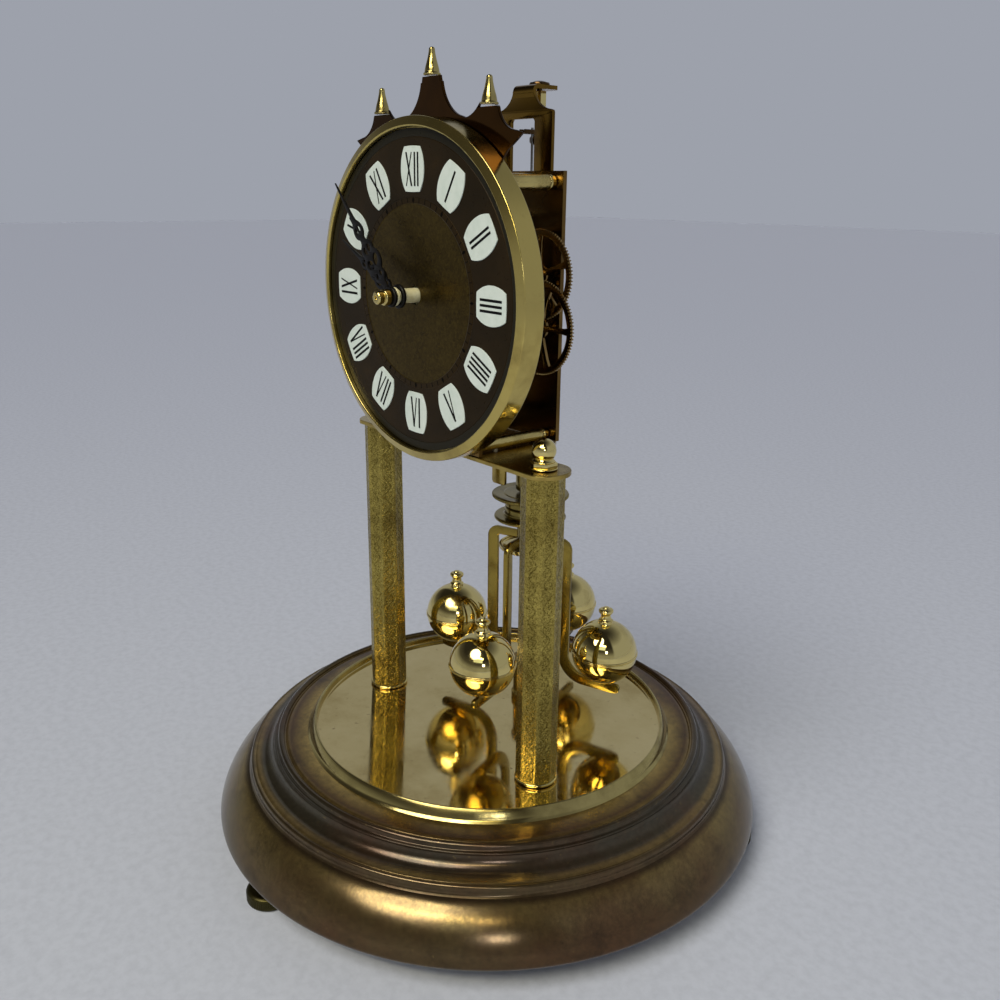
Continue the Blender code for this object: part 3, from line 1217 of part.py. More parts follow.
def anchor(train):
    """Anchor on its arbor, which passes through the back plate and carries the upright pin."""
    centre = train.anchor
    reach = ESCAPE_RADIUS + ANCHOR_GAP
    spread = math.acos(ANCHOR_SPAN_SHARE * ESCAPE_RADIUS / ANCHOR_RISE)
    outer = arc(train.escape, reach + ANCHOR_ARM_WIDTH, QUARTER - spread, QUARTER + spread, 8)
    inner = arc(train.escape, reach, QUARTER + spread, QUARTER - spread, 8)
    half = WHEEL_THICKNESS / 2.0
    arms = prism(outer + inner, ESCAPE_WHEEL_Y - half, ESCAPE_WHEEL_Y + half)
    boss_half = half + SEAT_GAP
    boss_radius = ARBOR_RADIUS * ANCHOR_BOSS_SHARE
    boss = disc(boss_radius, ESCAPE_WHEEL_Y - boss_half, ESCAPE_WHEEL_Y + boss_half, 12, "Y", centre)
    end = PIN_Y + PIN_RADIUS * 2.0
    shaft_front = train.front
    pivot_end = shaft_front - PLATE_THICKNESS - SEAT_GAP
    shaft = lathe([
        (0.0, pivot_end), (PIVOT_RADIUS, pivot_end),
        (PIVOT_RADIUS, shaft_front), (ARBOR_RADIUS, shaft_front),
        (ARBOR_RADIUS, end), (0.0, end),
    ], ARBOR_SEGMENTS, "Y", centre)
    pin = disc(PIN_RADIUS, centre[1], PIN_TOP_Z, 8, "Z", (centre[0], PIN_Y))
    piece("anchor", "steel", [shaft, boss, arms, pin], pivot=(centre[0], 0.0, centre[1]))


def centre_and_motion_work(train):
    """Centre wheel, cannon pinion, minute wheel and hour wheel."""
    centre = train.centre
    axis = axis_empty("centre_axis", (centre[0], 0.0, centre[1]))
    pinion_phase = meshing_phase(train.second, 0.0, SECOND_WHEEL_TEETH, centre, CENTRE_PINION_LEAVES)
    end = HAND_NUT_Y + HAND_NUT_RADIUS / 2.0
    step = FRONT_PLATE_FACE - SEAT_GAP
    back_end = train.back + PLATE_THICKNESS + SEAT_GAP
    shaft = lathe([
        (0.0, end), (CENTRE_FRONT_RADIUS, end), (CENTRE_FRONT_RADIUS, step), (ARBOR_RADIUS, step),
        (ARBOR_RADIUS, train.back), (PIVOT_RADIUS, train.back), (PIVOT_RADIUS, back_end), (0.0, back_end),
    ], ARBOR_SEGMENTS, "Y", centre)
    piece("centre_wheel", "satin_brass", [
        shaft,
        wheel_shapes(centre, CENTRE_WHEEL_Y, CENTRE_WHEEL_TEETH, CENTRE_MODULE, 0.0, 0.0),
        pinion_shape(centre, SECOND_WHEEL_Y, CENTRE_PINION_LEAVES, train.second_module, pinion_phase),
    ], carrier=axis)
    cannon_module = 2.0 * MOTION_DISTANCE / (CANNON_LEAVES + MINUTE_WHEEL_TEETH)
    hour_module = 2.0 * MOTION_DISTANCE / (MINUTE_PINION_LEAVES + HOUR_WHEEL_TEETH)
    half = WHEEL_THICKNESS / 2.0
    bore = CENTRE_FRONT_RADIUS + CANNON_BORE_CLEARANCE
    cannon_back = CANNON_TEETH_Y + half
    pipe_front = MINUTE_HAND_Y - HAND_THICKNESS
    pipe = lathe([
        (bore, pipe_front), (CANNON_RADIUS, pipe_front), (CANNON_RADIUS, cannon_back), (bore, cannon_back),
    ], 12, "Y", centre)
    leaves = toothed(
        CANNON_LEAVES, cannon_module * CANNON_LEAVES / 2.0, cannon_module, 0.0, PINION_TIP_SHARE, centre
    )
    hole = circle((bore + CANNON_RADIUS) / 2.0, 12, centre)
    cannon_teeth = prism(leaves, CANNON_TEETH_Y - half, cannon_back - SEAT_GAP / 4.0, [hole])
    piece("cannon_pinion", "steel", [pipe, cannon_teeth], carrier=axis)
    minute_phase = meshing_phase(centre, 0.0, CANNON_LEAVES, train.minute, MINUTE_WHEEL_TEETH)
    ring_radius = cannon_module * MINUTE_WHEEL_TEETH / 2.0
    minute_ring = toothed(
        MINUTE_WHEEL_TEETH, ring_radius, cannon_module, minute_phase, WHEEL_TIP_SHARE, train.minute
    )
    leaf_radius = hour_module * MINUTE_PINION_LEAVES / 2.0
    minute_leaves = toothed(MINUTE_PINION_LEAVES, leaf_radius, hour_module, 0.0, PINION_TIP_SHARE, train.minute)
    stud_hole = circle(MINUTE_STUD_RADIUS + PIVOT_CLEARANCE, 10, train.minute)
    minute_disc = prism(minute_ring, CANNON_TEETH_Y - half, CANNON_TEETH_Y + half, [stud_hole])
    minute_stack = prism(minute_leaves, HOUR_TEETH_Y - half, CANNON_TEETH_Y - half + SEAT_GAP, [stud_hole])
    piece(
        "minute_wheel", "satin_brass", [minute_disc, minute_stack],
        pivot=(train.minute[0], 0.0, train.minute[1])
    )
    hour_phase = meshing_phase(train.minute, 0.0, MINUTE_PINION_LEAVES, centre, HOUR_WHEEL_TEETH)
    hour_ring = toothed(HOUR_WHEEL_TEETH, hour_module * HOUR_WHEEL_TEETH / 2.0, hour_module, hour_phase,
                        WHEEL_TIP_SHARE, centre)
    hour_bore = CANNON_RADIUS + PIVOT_CLEARANCE
    hour_back = HOUR_TEETH_Y + half
    hour_front = HOUR_HAND_Y - HAND_THICKNESS
    hour_pipe = lathe([
        (hour_bore, hour_front), (HOUR_PIPE_RADIUS, hour_front),
        (HOUR_PIPE_RADIUS, hour_back), (hour_bore, hour_back),
    ], 16, "Y", centre)
    hour_hole = circle((hour_bore + HOUR_PIPE_RADIUS) / 2.0, 16, centre)
    hour_disc = prism(hour_ring, HOUR_TEETH_Y - half, hour_back - SEAT_GAP / 4.0, [hour_hole])
    hour_axis = axis_empty("hour_axis", (centre[0], 0.0, centre[1]))
    piece("hour_wheel", "satin_brass", [hour_pipe, hour_disc], carrier=hour_axis)
    return axis, hour_axis


def hand_shapes(length, y, collar_radius, bore, centre):
    """A pierced hand that points up, its collar and the hole for its pipe."""
    right = [(aside * length, centre[1] + up * length) for up, aside in reversed(HAND_OUTLINE_SHARES)]
    hole = [(aside * length, centre[1] + up * length) for up, aside in reversed(HAND_PIERCING_SHARES)]
    blade_low, blade_high = y - HAND_THICKNESS / 2.0, y + HAND_THICKNESS / 2.0
    root = [(0.0, centre[1] + collar_radius * 0.7)]
    blade = prism(
        mirrored(right + [(collar_radius * 0.5, root[0][1])]), blade_low, blade_high, [mirrored(hole)]
    )
    half = HAND_COLLAR_HEIGHT / 2.0
    collar = disc(collar_radius, y - half, y + half, 20, "Y", centre)
    cut = disc(bore, y - half - CUT_OVERRUN, y + half + CUT_OVERRUN, 16, "Y", centre)
    return [collar, blade], [cut]


def hands(train, minute_axis, hour_axis):
    """Hands at the shown time, and the round nut in front of them."""
    centre = train.centre
    minute_angle = TURN * SHOWN_MINUTE / 60.0
    hour_angle = TURN * (SHOWN_HOUR + SHOWN_MINUTE / 60.0) / 12.0
    point = (centre[0], 0.0, centre[1])
    shapes, cuts = hand_shapes(MINUTE_HAND_LENGTH, MINUTE_HAND_Y, MINUTE_COLLAR_RADIUS,
                               CANNON_RADIUS + PIVOT_CLEARANCE, centre)
    turned = [turned_about(shape, minute_angle, "Y", point) for shape in shapes]
    piece("minute_hand", "blackened_steel", turned, cuts, carrier=minute_axis)
    shapes, cuts = hand_shapes(HOUR_HAND_LENGTH, HOUR_HAND_Y, HOUR_COLLAR_RADIUS,
                               HOUR_PIPE_RADIUS + PIVOT_CLEARANCE, centre)
    turned = [turned_about(shape, hour_angle, "Y", point) for shape in shapes]
    piece("hour_hand", "blackened_steel", turned, cuts, carrier=hour_axis)
    back = MINUTE_HAND_Y - HAND_COLLAR_HEIGHT / 2.0 - SEAT_GAP
    front = HAND_NUT_Y
    bore = CENTRE_FRONT_RADIUS + PIVOT_CLEARANCE
    bore_end = HAND_NUT_Y + HAND_NUT_RADIUS / 2.0 - SEAT_GAP
    shoulder = (front + back) / 2.0
    edge = HAND_NUT_RADIUS * 0.82
    nut = lathe([
        (0.0, front), (edge * 0.8, front), (edge, front + SEAT_GAP * 2.0), (edge, shoulder),
        (HAND_NUT_RADIUS, shoulder), (HAND_NUT_RADIUS, back),
        (bore, back), (bore, bore_end), (0.0, bore_end),
    ], 16, "Y", centre)
    piece("hand_nut", "polished_brass", [nut], carrier=minute_axis)


def suspension_bracket():
    """Sheet bracket behind the back plate: two legs, a window and a tab bent to the rear."""
    low, high = BRACKET_FACE, BRACKET_FACE + BRACKET_THICKNESS
    sweep_centre = (BRACKET_HALF_WIDTH, BRACKET_TOP - BRACKET_THICKNESS)
    sweep_radius = BRACKET_HALF_WIDTH - BRACKET_NECK_HALF
    sweep = arc(sweep_centre, sweep_radius, math.pi, math.pi + QUARTER * BRACKET_SWEEP_SHARE, 5)
    corner = BRACKET_THICKNESS
    right = [(BRACKET_NECK_HALF, BRACKET_TOP)] + sweep + [
        (BRACKET_HALF_WIDTH - corner, BRACKET_SHOULDER_Z),
        (BRACKET_HALF_WIDTH, BRACKET_SHOULDER_Z - corner),
        (BRACKET_HALF_WIDTH, BRACKET_FOOT_Z), (BRACKET_WINDOW_HALF, BRACKET_FOOT_Z),
        (BRACKET_WINDOW_HALF, BRACKET_WINDOW_TOP - corner),
        (BRACKET_WINDOW_HALF - corner, BRACKET_WINDOW_TOP),
    ]
    wall = prism(mirrored(right), low, high)
    tab = box((-BRACKET_NECK_HALF, low + BRACKET_THICKNESS / 2.0, BRACKET_TOP - BRACKET_THICKNESS),
              (BRACKET_NECK_HALF, BRACKET_TAB_REACH, BRACKET_TOP))
    cut = disc(SADDLE_STEM_RADIUS + PIVOT_CLEARANCE, BRACKET_TOP - BRACKET_THICKNESS - CUT_OVERRUN,
               BRACKET_TOP + CUT_OVERRUN, 10, "Z", (0.0, PENDULUM_Y))
    piece("suspension_bracket", "satin_brass", [wall, tab], [cut])


def suspension():
    """Saddle screw, top block, spring ribbon, fork, bottom block."""
    centre = (0.0, PENDULUM_Y)
    block_top = BRACKET_TOP - BRACKET_THICKNESS - SEAT_GAP
    half_width, half_depth = TOP_BLOCK_WIDTH / 2.0, TOP_BLOCK_DEPTH / 2.0
    stem_end = block_top - SADDLE_HEIGHT
    block = box(
        (-half_width, PENDULUM_Y - half_depth, TOP_BLOCK_BOTTOM),
        (half_width, PENDULUM_Y + half_depth, block_top)
    )
    socket = disc(
        SADDLE_STEM_RADIUS + PIVOT_CLEARANCE, stem_end - SEAT_GAP, block_top + CUT_OVERRUN, 10, "Z",
        centre
    )
    middle = (0.0, (TOP_BLOCK_BOTTOM + stem_end) / 2.0)
    eye = disc(
        TOP_BLOCK_HOLE_RADIUS, PENDULUM_Y - TOP_BLOCK_DEPTH, PENDULUM_Y + TOP_BLOCK_DEPTH, 10, "Y", middle
    )
    piece("top_block", "polished_brass", [block], [socket, eye])
    dome_foot = BRACKET_TOP + SEAT_GAP
    dome = ellipse_arc((0.0, dome_foot), SADDLE_RADIUS, SADDLE_HEIGHT, 0.0, QUARTER, 4)[:-1]
    screw = [(0.0, stem_end), (SADDLE_STEM_RADIUS, stem_end), (SADDLE_STEM_RADIUS, dome_foot)]
    piece(
        "saddle_screw", "dark_bronze",
        [lathe(screw + dome + [(0.0, dome_foot + SADDLE_HEIGHT)], 14, "Z", centre)]
    )
    ribbon_low = HOOK_TOP + SEAT_GAP + BOTTOM_BLOCK_HEIGHT / 2.0 + SEAT_GAP
    half_width, half_depth = RIBBON_WIDTH / 2.0, RIBBON_THICKNESS / 2.0
    ribbon = box((-half_width, PENDULUM_Y - half_depth, ribbon_low),
                 (half_width, PENDULUM_Y + half_depth, TOP_BLOCK_BOTTOM - SEAT_GAP))
    piece("suspension_spring", "steel", [ribbon])
    fork(centre)


def fork(centre):
    """Fork clamped on the ribbon, with two tines forward on either side of the anchor's pin."""
    low, high = FORK_Z - FORK_HEIGHT / 2.0, FORK_Z + FORK_HEIGHT / 2.0
    slot_half = FORK_SLOT_WIDTH / 2.0
    ribbon_half = RIBBON_WIDTH / 2.0 + HOLE_CLEARANCE
    tine_low = high - FORK_TINE_HEIGHT
    inner = PIN_RADIUS + FORK_PIN_CLEARANCE
    front = PENDULUM_Y - FORK_TINE_REACH
    shapes = [disc(FORK_RADIUS, low, tine_low, 14, "Z", centre)]
    for side in (-1, 1):
        near, far = sorted((side * inner, side * (inner + FORK_TINE_WIDTH)))
        shapes.append(box((near, front, tine_low - SEAT_GAP), (far, PENDULUM_Y + ribbon_half, high)))
    ribbon_slot = box((-ribbon_half, PENDULUM_Y - slot_half, low - CUT_OVERRUN),
                      (ribbon_half, PENDULUM_Y + slot_half, high + CUT_OVERRUN))
    piece("fork", "dark_bronze", shapes, [ribbon_slot], pivot=(0.0, PENDULUM_Y, FORK_Z))


def guard_middle():
    """Middle of a guard leg, seen from the front."""
    return (GUARD_LEG_INNER + GUARD_LEG_OUTER) / 2.0


def guard_bracket():
    """Guard under the platform: a strap with two legs that keep the pendulum's head from swinging off."""
    top = PILLAR_TOP
    strap_low = top - GUARD_THICKNESS
    screw_y = GUARD_Y - GUARD_THICKNESS
    strap = box(
        (-GUARD_LEG_OUTER, screw_y - GUARD_LEG_INNER / 2.0, strap_low),
        (GUARD_LEG_OUTER, GUARD_Y + GUARD_THICKNESS, top)
    )
    shapes = [strap]
    for side in (-1, 1):
        near, far = sorted((side * GUARD_LEG_INNER, side * GUARD_LEG_OUTER))
        leg_top = strap_low + GUARD_THICKNESS / 2.0
        shapes.append(box((near, GUARD_Y, GUARD_BOTTOM), (far, GUARD_Y + GUARD_THICKNESS, leg_top)))
        pin = disc(GUARD_SCREW_RADIUS, strap_low + GUARD_THICKNESS / 2.0, platform_top(), 8, "Z",
                   (side * guard_middle(), screw_y))
        shapes.append(pin)
    piece("guard_bracket", "satin_brass", shapes)


def pendulum():
    """The torsion pendulum: block, hub, rating disc, crossed frames, dish and four balls."""
    centre = (0.0, PENDULUM_Y)
    axis = axis_empty("pendulum_axis", (0.0, PENDULUM_Y, 0.0))
    bottom_block(axis)
    pendulum_hub(centre, axis)
    rating_disc(centre, axis)
    dish = lathe([
        (HUB_NECK_RADIUS + PIVOT_CLEARANCE, DISH_TOP), (DISH_RADIUS - DISH_THICKNESS, DISH_TOP),
        (DISH_RADIUS - DISH_THICKNESS, DISH_TOP + DISH_LIP), (DISH_RADIUS, DISH_TOP + DISH_LIP),
        (DISH_RADIUS, DISH_TOP - DISH_THICKNESS),
        (HUB_NECK_RADIUS + PIVOT_CLEARANCE, DISH_TOP - DISH_THICKNESS),
    ], 20, "Z", centre)
    piece("dish", "polished_brass", [dish], carrier=axis)
    for name, turn, notch_top in (("a", 0.0, True), ("b", QUARTER, False)):
        cross_frame(name, BALL_ANGLE + turn, notch_top, axis)
    for number, (x, y) in enumerate(circle(BALL_ORBIT, BALL_COUNT, centre, BALL_ANGLE), 1):
        ball(f"ball_{number}", (x, y), axis)


def bottom_block(axis):
    """Block at the ribbon's lower end, which hooks into the pendulum's head."""
    low = HOOK_TOP - BOTTOM_BLOCK_HEIGHT / 2.0 + SEAT_GAP
    high = HOOK_TOP + BOTTOM_BLOCK_HEIGHT / 2.0 + SEAT_GAP
    half_width, half_depth = BOTTOM_BLOCK_WIDTH / 2.0, BOTTOM_BLOCK_DEPTH / 2.0
    block = box((-half_width, PENDULUM_Y - half_depth, low), (half_width, PENDULUM_Y + half_depth, high))
    piece("bottom_block", "polished_brass", [block], carrier=axis)


def pendulum_hub(centre, axis):
    """Head with a slot, spindle, lower flange, cross-slotted core and the long guide rod."""
    flange_low = HUB_FLANGE_TOP - HUB_FLANGE_THICKNESS
    profile = [
        (0.0, HOOK_TOP), (HOOK_RADIUS, HOOK_TOP), (HOOK_RADIUS, HOOK_BOTTOM), (SPINDLE_RADIUS, HOOK_BOTTOM),
        (SPINDLE_RADIUS, WAIST_JOINT_Z), (WAIST_RADIUS, WAIST_JOINT_Z), (WAIST_RADIUS, HUB_FLANGE_TOP),
        (HUB_FLANGE_RADIUS, HUB_FLANGE_TOP), (HUB_FLANGE_RADIUS, flange_low),
        (HUB_CORE_RADIUS, flange_low - HUB_FLANGE_THICKNESS), (HUB_CORE_RADIUS, HUB_CORE_BOTTOM),
        (HUB_NECK_RADIUS, HUB_CORE_BOTTOM), (HUB_NECK_RADIUS, HUB_NECK_BOTTOM),
        (ROD_RADIUS, HUB_NECK_BOTTOM), (ROD_RADIUS, ROD_BOTTOM), (0.0, ROD_BOTTOM),
    ]
    half_width = BOTTOM_BLOCK_WIDTH / 2.0 + HOOK_SLOT_GAP
    half_depth = BOTTOM_BLOCK_DEPTH / 2.0 + HOOK_SLOT_GAP
    slot_low = HOOK_TOP - BOTTOM_BLOCK_HEIGHT / 2.0
    slot_high = HOOK_TOP + CUT_OVERRUN
    cuts = [box((-half_width, PENDULUM_Y - half_depth, slot_low), (half_width, PENDULUM_Y + half_depth, slot_high))]
    slot_half = FRAME_THICKNESS / 2.0 + PIVOT_CLEARANCE
    low, high = FRAME_TOP - FRAME_BAR_HEIGHT - PIVOT_CLEARANCE, FRAME_TOP + PIVOT_CLEARANCE
    reach = HUB_CORE_RADIUS + CUT_OVERRUN
    for turn in (0.0, QUARTER):
        slot = box((-reach, PENDULUM_Y - slot_half, low), (reach, PENDULUM_Y + slot_half, high))
        cuts.append(turned_about(slot, BALL_ANGLE + turn, "Z", (centre[0], centre[1], 0.0)))
    piece("pendulum_hub", "satin_brass", [lathe(profile, 16, "Z", centre)], cuts, carrier=axis)


def rating_disc(centre, axis):
    """Knurled disc that turns on the spindle to set the rate."""
    bore = SPINDLE_RADIUS + PIVOT_CLEARANCE
    low = WAIST_JOINT_Z + SEAT_GAP
    under = RATING_TOP - RATING_THICKNESS
    shape = lathe([
        (bore, RATING_TOP), (RATING_RADIUS, RATING_TOP),
        (RATING_RADIUS, under), (WAIST_RADIUS, under - SEAT_GAP),
        (WAIST_RADIUS, low), (bore, low),
    ], 24, "Z", centre)
    piece("rating_disc", "satin_brass", [shape], carrier=axis)


def cross_frame(name, angle, notch_top, axis):
    """Flat stamped frame: a top bar, two legs and two hooks that pass below the balls."""
    inner = FRAME_OUTER - FRAME_LEG_WIDTH
    seat = BALL_CENTRE_Z - BALL_RADIUS - SEAT_GAP
    hook_low = seat - FRAME_HOOK_HEIGHT
    corner = arc((FRAME_OUTER - FRAME_CORNER, FRAME_TOP - FRAME_CORNER), FRAME_CORNER, QUARTER, 0.0, 4)
    upper_bend = FRAME_LEG_BOTTOM - seat
    bend_out = ellipse_arc(
        (FRAME_OUTER + upper_bend, FRAME_LEG_BOTTOM), upper_bend, upper_bend, math.pi, math.pi + QUARTER,
        4
    )
    lower_bend = FRAME_LEG_BOTTOM - hook_low
    bend_in = ellipse_arc(
        (inner + lower_bend, FRAME_LEG_BOTTOM), lower_bend, lower_bend, math.pi + QUARTER, math.pi, 5
    )
    tip = [(FRAME_TIP_RADIUS, seat), (FRAME_TIP_RADIUS - FRAME_HOOK_HEIGHT / 2.0, hook_low)]
    bar_low = FRAME_TOP - FRAME_BAR_HEIGHT
    right = corner + bend_out + tip + bend_in + [(inner, bar_low)]
    notch = FRAME_THICKNESS / 2.0 + PIVOT_CLEARANCE
    middle = (FRAME_TOP + bar_low) / 2.0
    if notch_top:
        depth = middle - PIVOT_CLEARANCE / 2.0
        right = [(notch, depth), (notch, FRAME_TOP)] + right
    else:
        depth = middle + PIVOT_CLEARANCE / 2.0
        right = right + [(notch, bar_low), (notch, depth)]
    half = FRAME_THICKNESS / 2.0
    shape = prism(mirrored(right), -half, half)
    spin = Matrix.Translation((0.0, PENDULUM_Y, 0.0)) @ Matrix.Rotation(angle, 4, "Z")
    bmesh.ops.transform(shape, matrix=spin, verts=shape.verts)
    piece(f"cross_frame_{name}", "satin_brass", [shape], carrier=axis)


def ball(name, place, axis):
    """Hollow-looking brass ball with a raised seam and a turned knob on top."""
    seam = BALL_RADIUS + BALL_SEAM_PROUD
    foot_radius = BALL_FINIAL_RADIUS
    dip = math.asin(foot_radius / BALL_RADIUS)
    lower = arc((0.0, BALL_CENTRE_Z), BALL_RADIUS, -QUARTER, 0.0, BALL_RINGS // 2)[1:-1]
    upper = arc((0.0, BALL_CENTRE_Z), BALL_RADIUS, 0.0, QUARTER - dip, BALL_RINGS // 2)[1:]
    knob_foot = upper[-1][1]
    knob = [(BALL_FINIAL_RADIUS * s, knob_foot + BALL_FINIAL_HEIGHT * t) for s, t in BALL_FINIAL_SHARES][1:]
    profile = [(0.0, BALL_CENTRE_Z - BALL_RADIUS)] + lower + [(seam, BALL_CENTRE_Z)] + upper + knob
    profile.append((0.0, knob_foot + BALL_FINIAL_HEIGHT))
    piece(name, "polished_brass", [lathe(profile, BALL_SEGMENTS, "Z", place)], carrier=axis)


def main():
    """Clear the scene and build the clock."""
    for old in list(bpy.data.objects):
        bpy.data.objects.remove(old)
    train = Train()
    base_shell()
    base_deck()
    levelling_feet()
    guide_cup()
    pillars()
    pillar_nuts()
    platform()
    platform_screws()
    movement_posts()
    front_plate(train)
    back_plate(train)
    barrel_and_spring(train)
    winding_work(train)
    train_wheels(train)
    anchor(train)
    minute_axis, hour_axis = centre_and_motion_work(train)
    dial()
    bezel()
    crown()
    crown_finials()
    hands(train, minute_axis, hour_axis)
    suspension_bracket()
    suspension()
    guard_bracket()
    pendulum()


main()
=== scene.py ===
"""Looks of the anniversary clock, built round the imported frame.

Sizes are in millimetres in the frame's own axes: +Z up, the dial faces -Y, the origin on the ground
below the centre of the base. Each sub-assembly is a class that builds its pieces and dresses them.
"""

from __future__ import annotations

import logging
import math
from dataclasses import dataclass, field
from enum import Enum
from typing import Any, Callable, Sequence

import bmesh
import bpy
import numpy as np
from mathutils import Matrix, Vector

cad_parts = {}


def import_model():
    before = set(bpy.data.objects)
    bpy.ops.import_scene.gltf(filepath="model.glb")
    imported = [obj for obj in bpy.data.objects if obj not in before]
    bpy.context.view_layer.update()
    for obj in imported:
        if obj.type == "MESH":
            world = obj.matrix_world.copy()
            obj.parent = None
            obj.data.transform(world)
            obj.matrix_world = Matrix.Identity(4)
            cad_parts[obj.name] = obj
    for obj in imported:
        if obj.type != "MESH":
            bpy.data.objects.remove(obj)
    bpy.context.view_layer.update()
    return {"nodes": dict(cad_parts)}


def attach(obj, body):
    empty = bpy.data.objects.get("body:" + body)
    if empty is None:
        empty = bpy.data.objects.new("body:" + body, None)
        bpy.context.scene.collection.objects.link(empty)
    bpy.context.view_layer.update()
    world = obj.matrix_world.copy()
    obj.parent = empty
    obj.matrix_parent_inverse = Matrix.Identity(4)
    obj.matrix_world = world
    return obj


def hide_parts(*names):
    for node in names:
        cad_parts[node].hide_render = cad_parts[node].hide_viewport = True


Array = np.ndarray
Pair = tuple[float, float]
Triple = tuple[float, float, float]
Shape = tuple[Array, Any]
Ripple = Callable[[Array, Array], Array]

LOG = logging.getLogger("clock")
MM = 0.001
TAU = 2.0 * math.pi
ROOT = "clock_frame"
LOOK = "_look"
DIAL_CENTRE = (0.0, 185.4)
PILLAR_PLACE = (41.16, -14.85)
PENDULUM_Y = 18.17
MINUTE_WHEEL_PLACE = (-5.982, 182.611)
EASE_STEPS = 6
CREASE = 25.0
TURNED_CREASE = 32.0
FLAT_CREASE = 20.0


class Axis(Enum):
    """Direction in which a turned or flat piece has its height."""

    UP = "up"
    BACK = "back"


class Grain(Enum):
    """How a metal's fine marks run."""

    CLOUDY = "cloudy"
    STIPPLED = "stippled"
    DRAWN = "drawn"


def linear(code: str) -> tuple[float, float, float, float]:
    """Turn an sRGB hex code into linear red, green, blue and alpha.

    Args:
        code: six hex digits.

    Returns:
        The four linear values, by the sRGB curve ((c + 0.055) / 1.055) ** 2.4.
    """
    parts = np.array([int(code[i:i + 2], 16) for i in (0, 2, 4)]) / 255.0
    values = np.where(parts <= 0.04045, parts / 12.92, ((parts + 0.055) / 1.055) ** 2.4)
    return (float(values[0]), float(values[1]), float(values[2]), 1.0)


class Nodes:
    """A node tree that is filled in short calls."""

    def __init__(self, tree: Any) -> None:
        """Keep the tree."""
        self.tree = tree

    def wire(self, socket: Any, value: Any) -> None:
        """Link a socket to another node's output, or fill it with a value."""
        if isinstance(value, bpy.types.NodeSocket):
            self.tree.links.new(value, socket)
        else:
            socket.default_value = value

    def add(self, kind: str, sockets: dict[Any, Any] | None = None, **settings: Any) -> Any:
        """Add a node, set its properties, and link or fill its sockets.

        Args:
            kind: the node's type name.
            sockets: socket name or number to a value or to another node's output.
            settings: properties of the node.

        Returns:
            The new node.
        """
        node = self.tree.nodes.new(kind)
        for name, value in settings.items():
            setattr(node, name, value)
        for name, value in (sockets or {}).items():
            self.wire(node.inputs[name], value)
        return node

    def ramp(self, factor: Any, stops: Sequence[tuple[float, str]]) -> Any:
        """Colour between hex stops."""
        node = self.add("ShaderNodeValToRGB", {"Fac": factor})
        ramp = node.color_ramp
        while len(ramp.elements) < len(stops):
            ramp.elements.new(0.5)
        for element, (position, code) in zip(ramp.elements, stops):
            element.position = position
            element.color = linear(code)
        return node.outputs["Color"]

    def spread(self, value: Any, low: float, high: float, to_low: float, to_high: float) -> Any:
        """Map a value from one span to another, clamped."""
        sockets = {"Value": value, "From Min": low, "From Max": high, "To Min": to_low, "To Max": to_high}
        return self.add("ShaderNodeMapRange", sockets).outputs["Result"]

    def blend(self, factor: Any, first: Any, second: Any) -> Any:
        """Mix two colours by a factor."""
        sockets = {0: factor, 6: first, 7: second}
        return self.add("ShaderNodeMix", sockets, data_type="RGBA").outputs[2]


class Sheet(Nodes):
    """A material's node tree with its Principled shader and its Object coordinates."""

    def __init__(self, name: str) -> None:
        """Start the material and keep its shader."""
        self.material = bpy.data.materials.new(name)
        self.material.use_nodes = True
        super().__init__(self.material.node_tree)
        self.shader = self.tree.nodes["Principled BSDF"]
        self.place = self.add("ShaderNodeTexCoord").outputs["Object"]

    def set(self, **values: Any) -> None:
        """Set or link the shader's own sockets, an underscore standing for a space."""
        for name, value in values.items():
            self.wire(self.shader.inputs[name.replace("_", " ")], value)

    def math(self, operation: str, first: Any, second: Any = 0.0) -> Any:
        """Output of a Math node over two values or sockets."""
        return self.add("ShaderNodeMath", {0: first, 1: second}, operation=operation).outputs[0]

    def noise(
        self, scale: float, detail: float = 4.0, rough: float = 0.55, twist: float = 0.0, place: Any = None,
    ) -> Any:
        """Output of a noise, its scale in waves a metre, in Object coordinates or in a given place."""
        sockets = {"Scale": scale, "Detail": detail, "Roughness": rough, "Distortion": twist}
        sockets["Vector"] = self.place if place is None else place
        return self.add("ShaderNodeTexNoise", sockets).outputs["Fac"]

    def streaks(self, scale: Sequence[float]) -> Any:
        """Output of a noise stretched by a scale along each axis, in waves a metre."""
        return self.noise(1.0, 2.0, 0.5, place=self.stretched(scale))

    def stretched(self, scale: Sequence[float], shift: Sequence[float] = (0.0, 0.0, 0.0)) -> Any:
        """Object coordinates moved by a shift and then scaled along each axis."""
        location = tuple(s * c for s, c in zip(shift, scale))
        sockets = {"Vector": self.place, "Location": location, "Scale": tuple(scale)}
        return self.add("ShaderNodeMapping", sockets).outputs["Vector"]

    def reach(self, vector: Any, unit: float) -> Any:
        """Length of a vector, in units of so many millimetres."""
        length = self.add("ShaderNodeVectorMath", {0: vector}, operation="LENGTH").outputs["Value"]
        return self.math("DIVIDE", length, unit * MM)

    def stain(self, under: Any, factor: Any, low: float, high: float, share: float, code: str) -> Any:
        """Lay a colour over another where a factor runs from low to high, up to a share."""
        return self.blend(self.spread(factor, low, high, 0.0, share), under, linear(code))

    def bump(self, height: Any, depth: float, strength: float = 1.0) -> Any:
        """Normal from a height, with its depth in millimetres."""
        sockets = {"Height": height, "Distance": depth * MM, "Strength": strength}
        return self.add("ShaderNodeBump", sockets).outputs["Normal"]


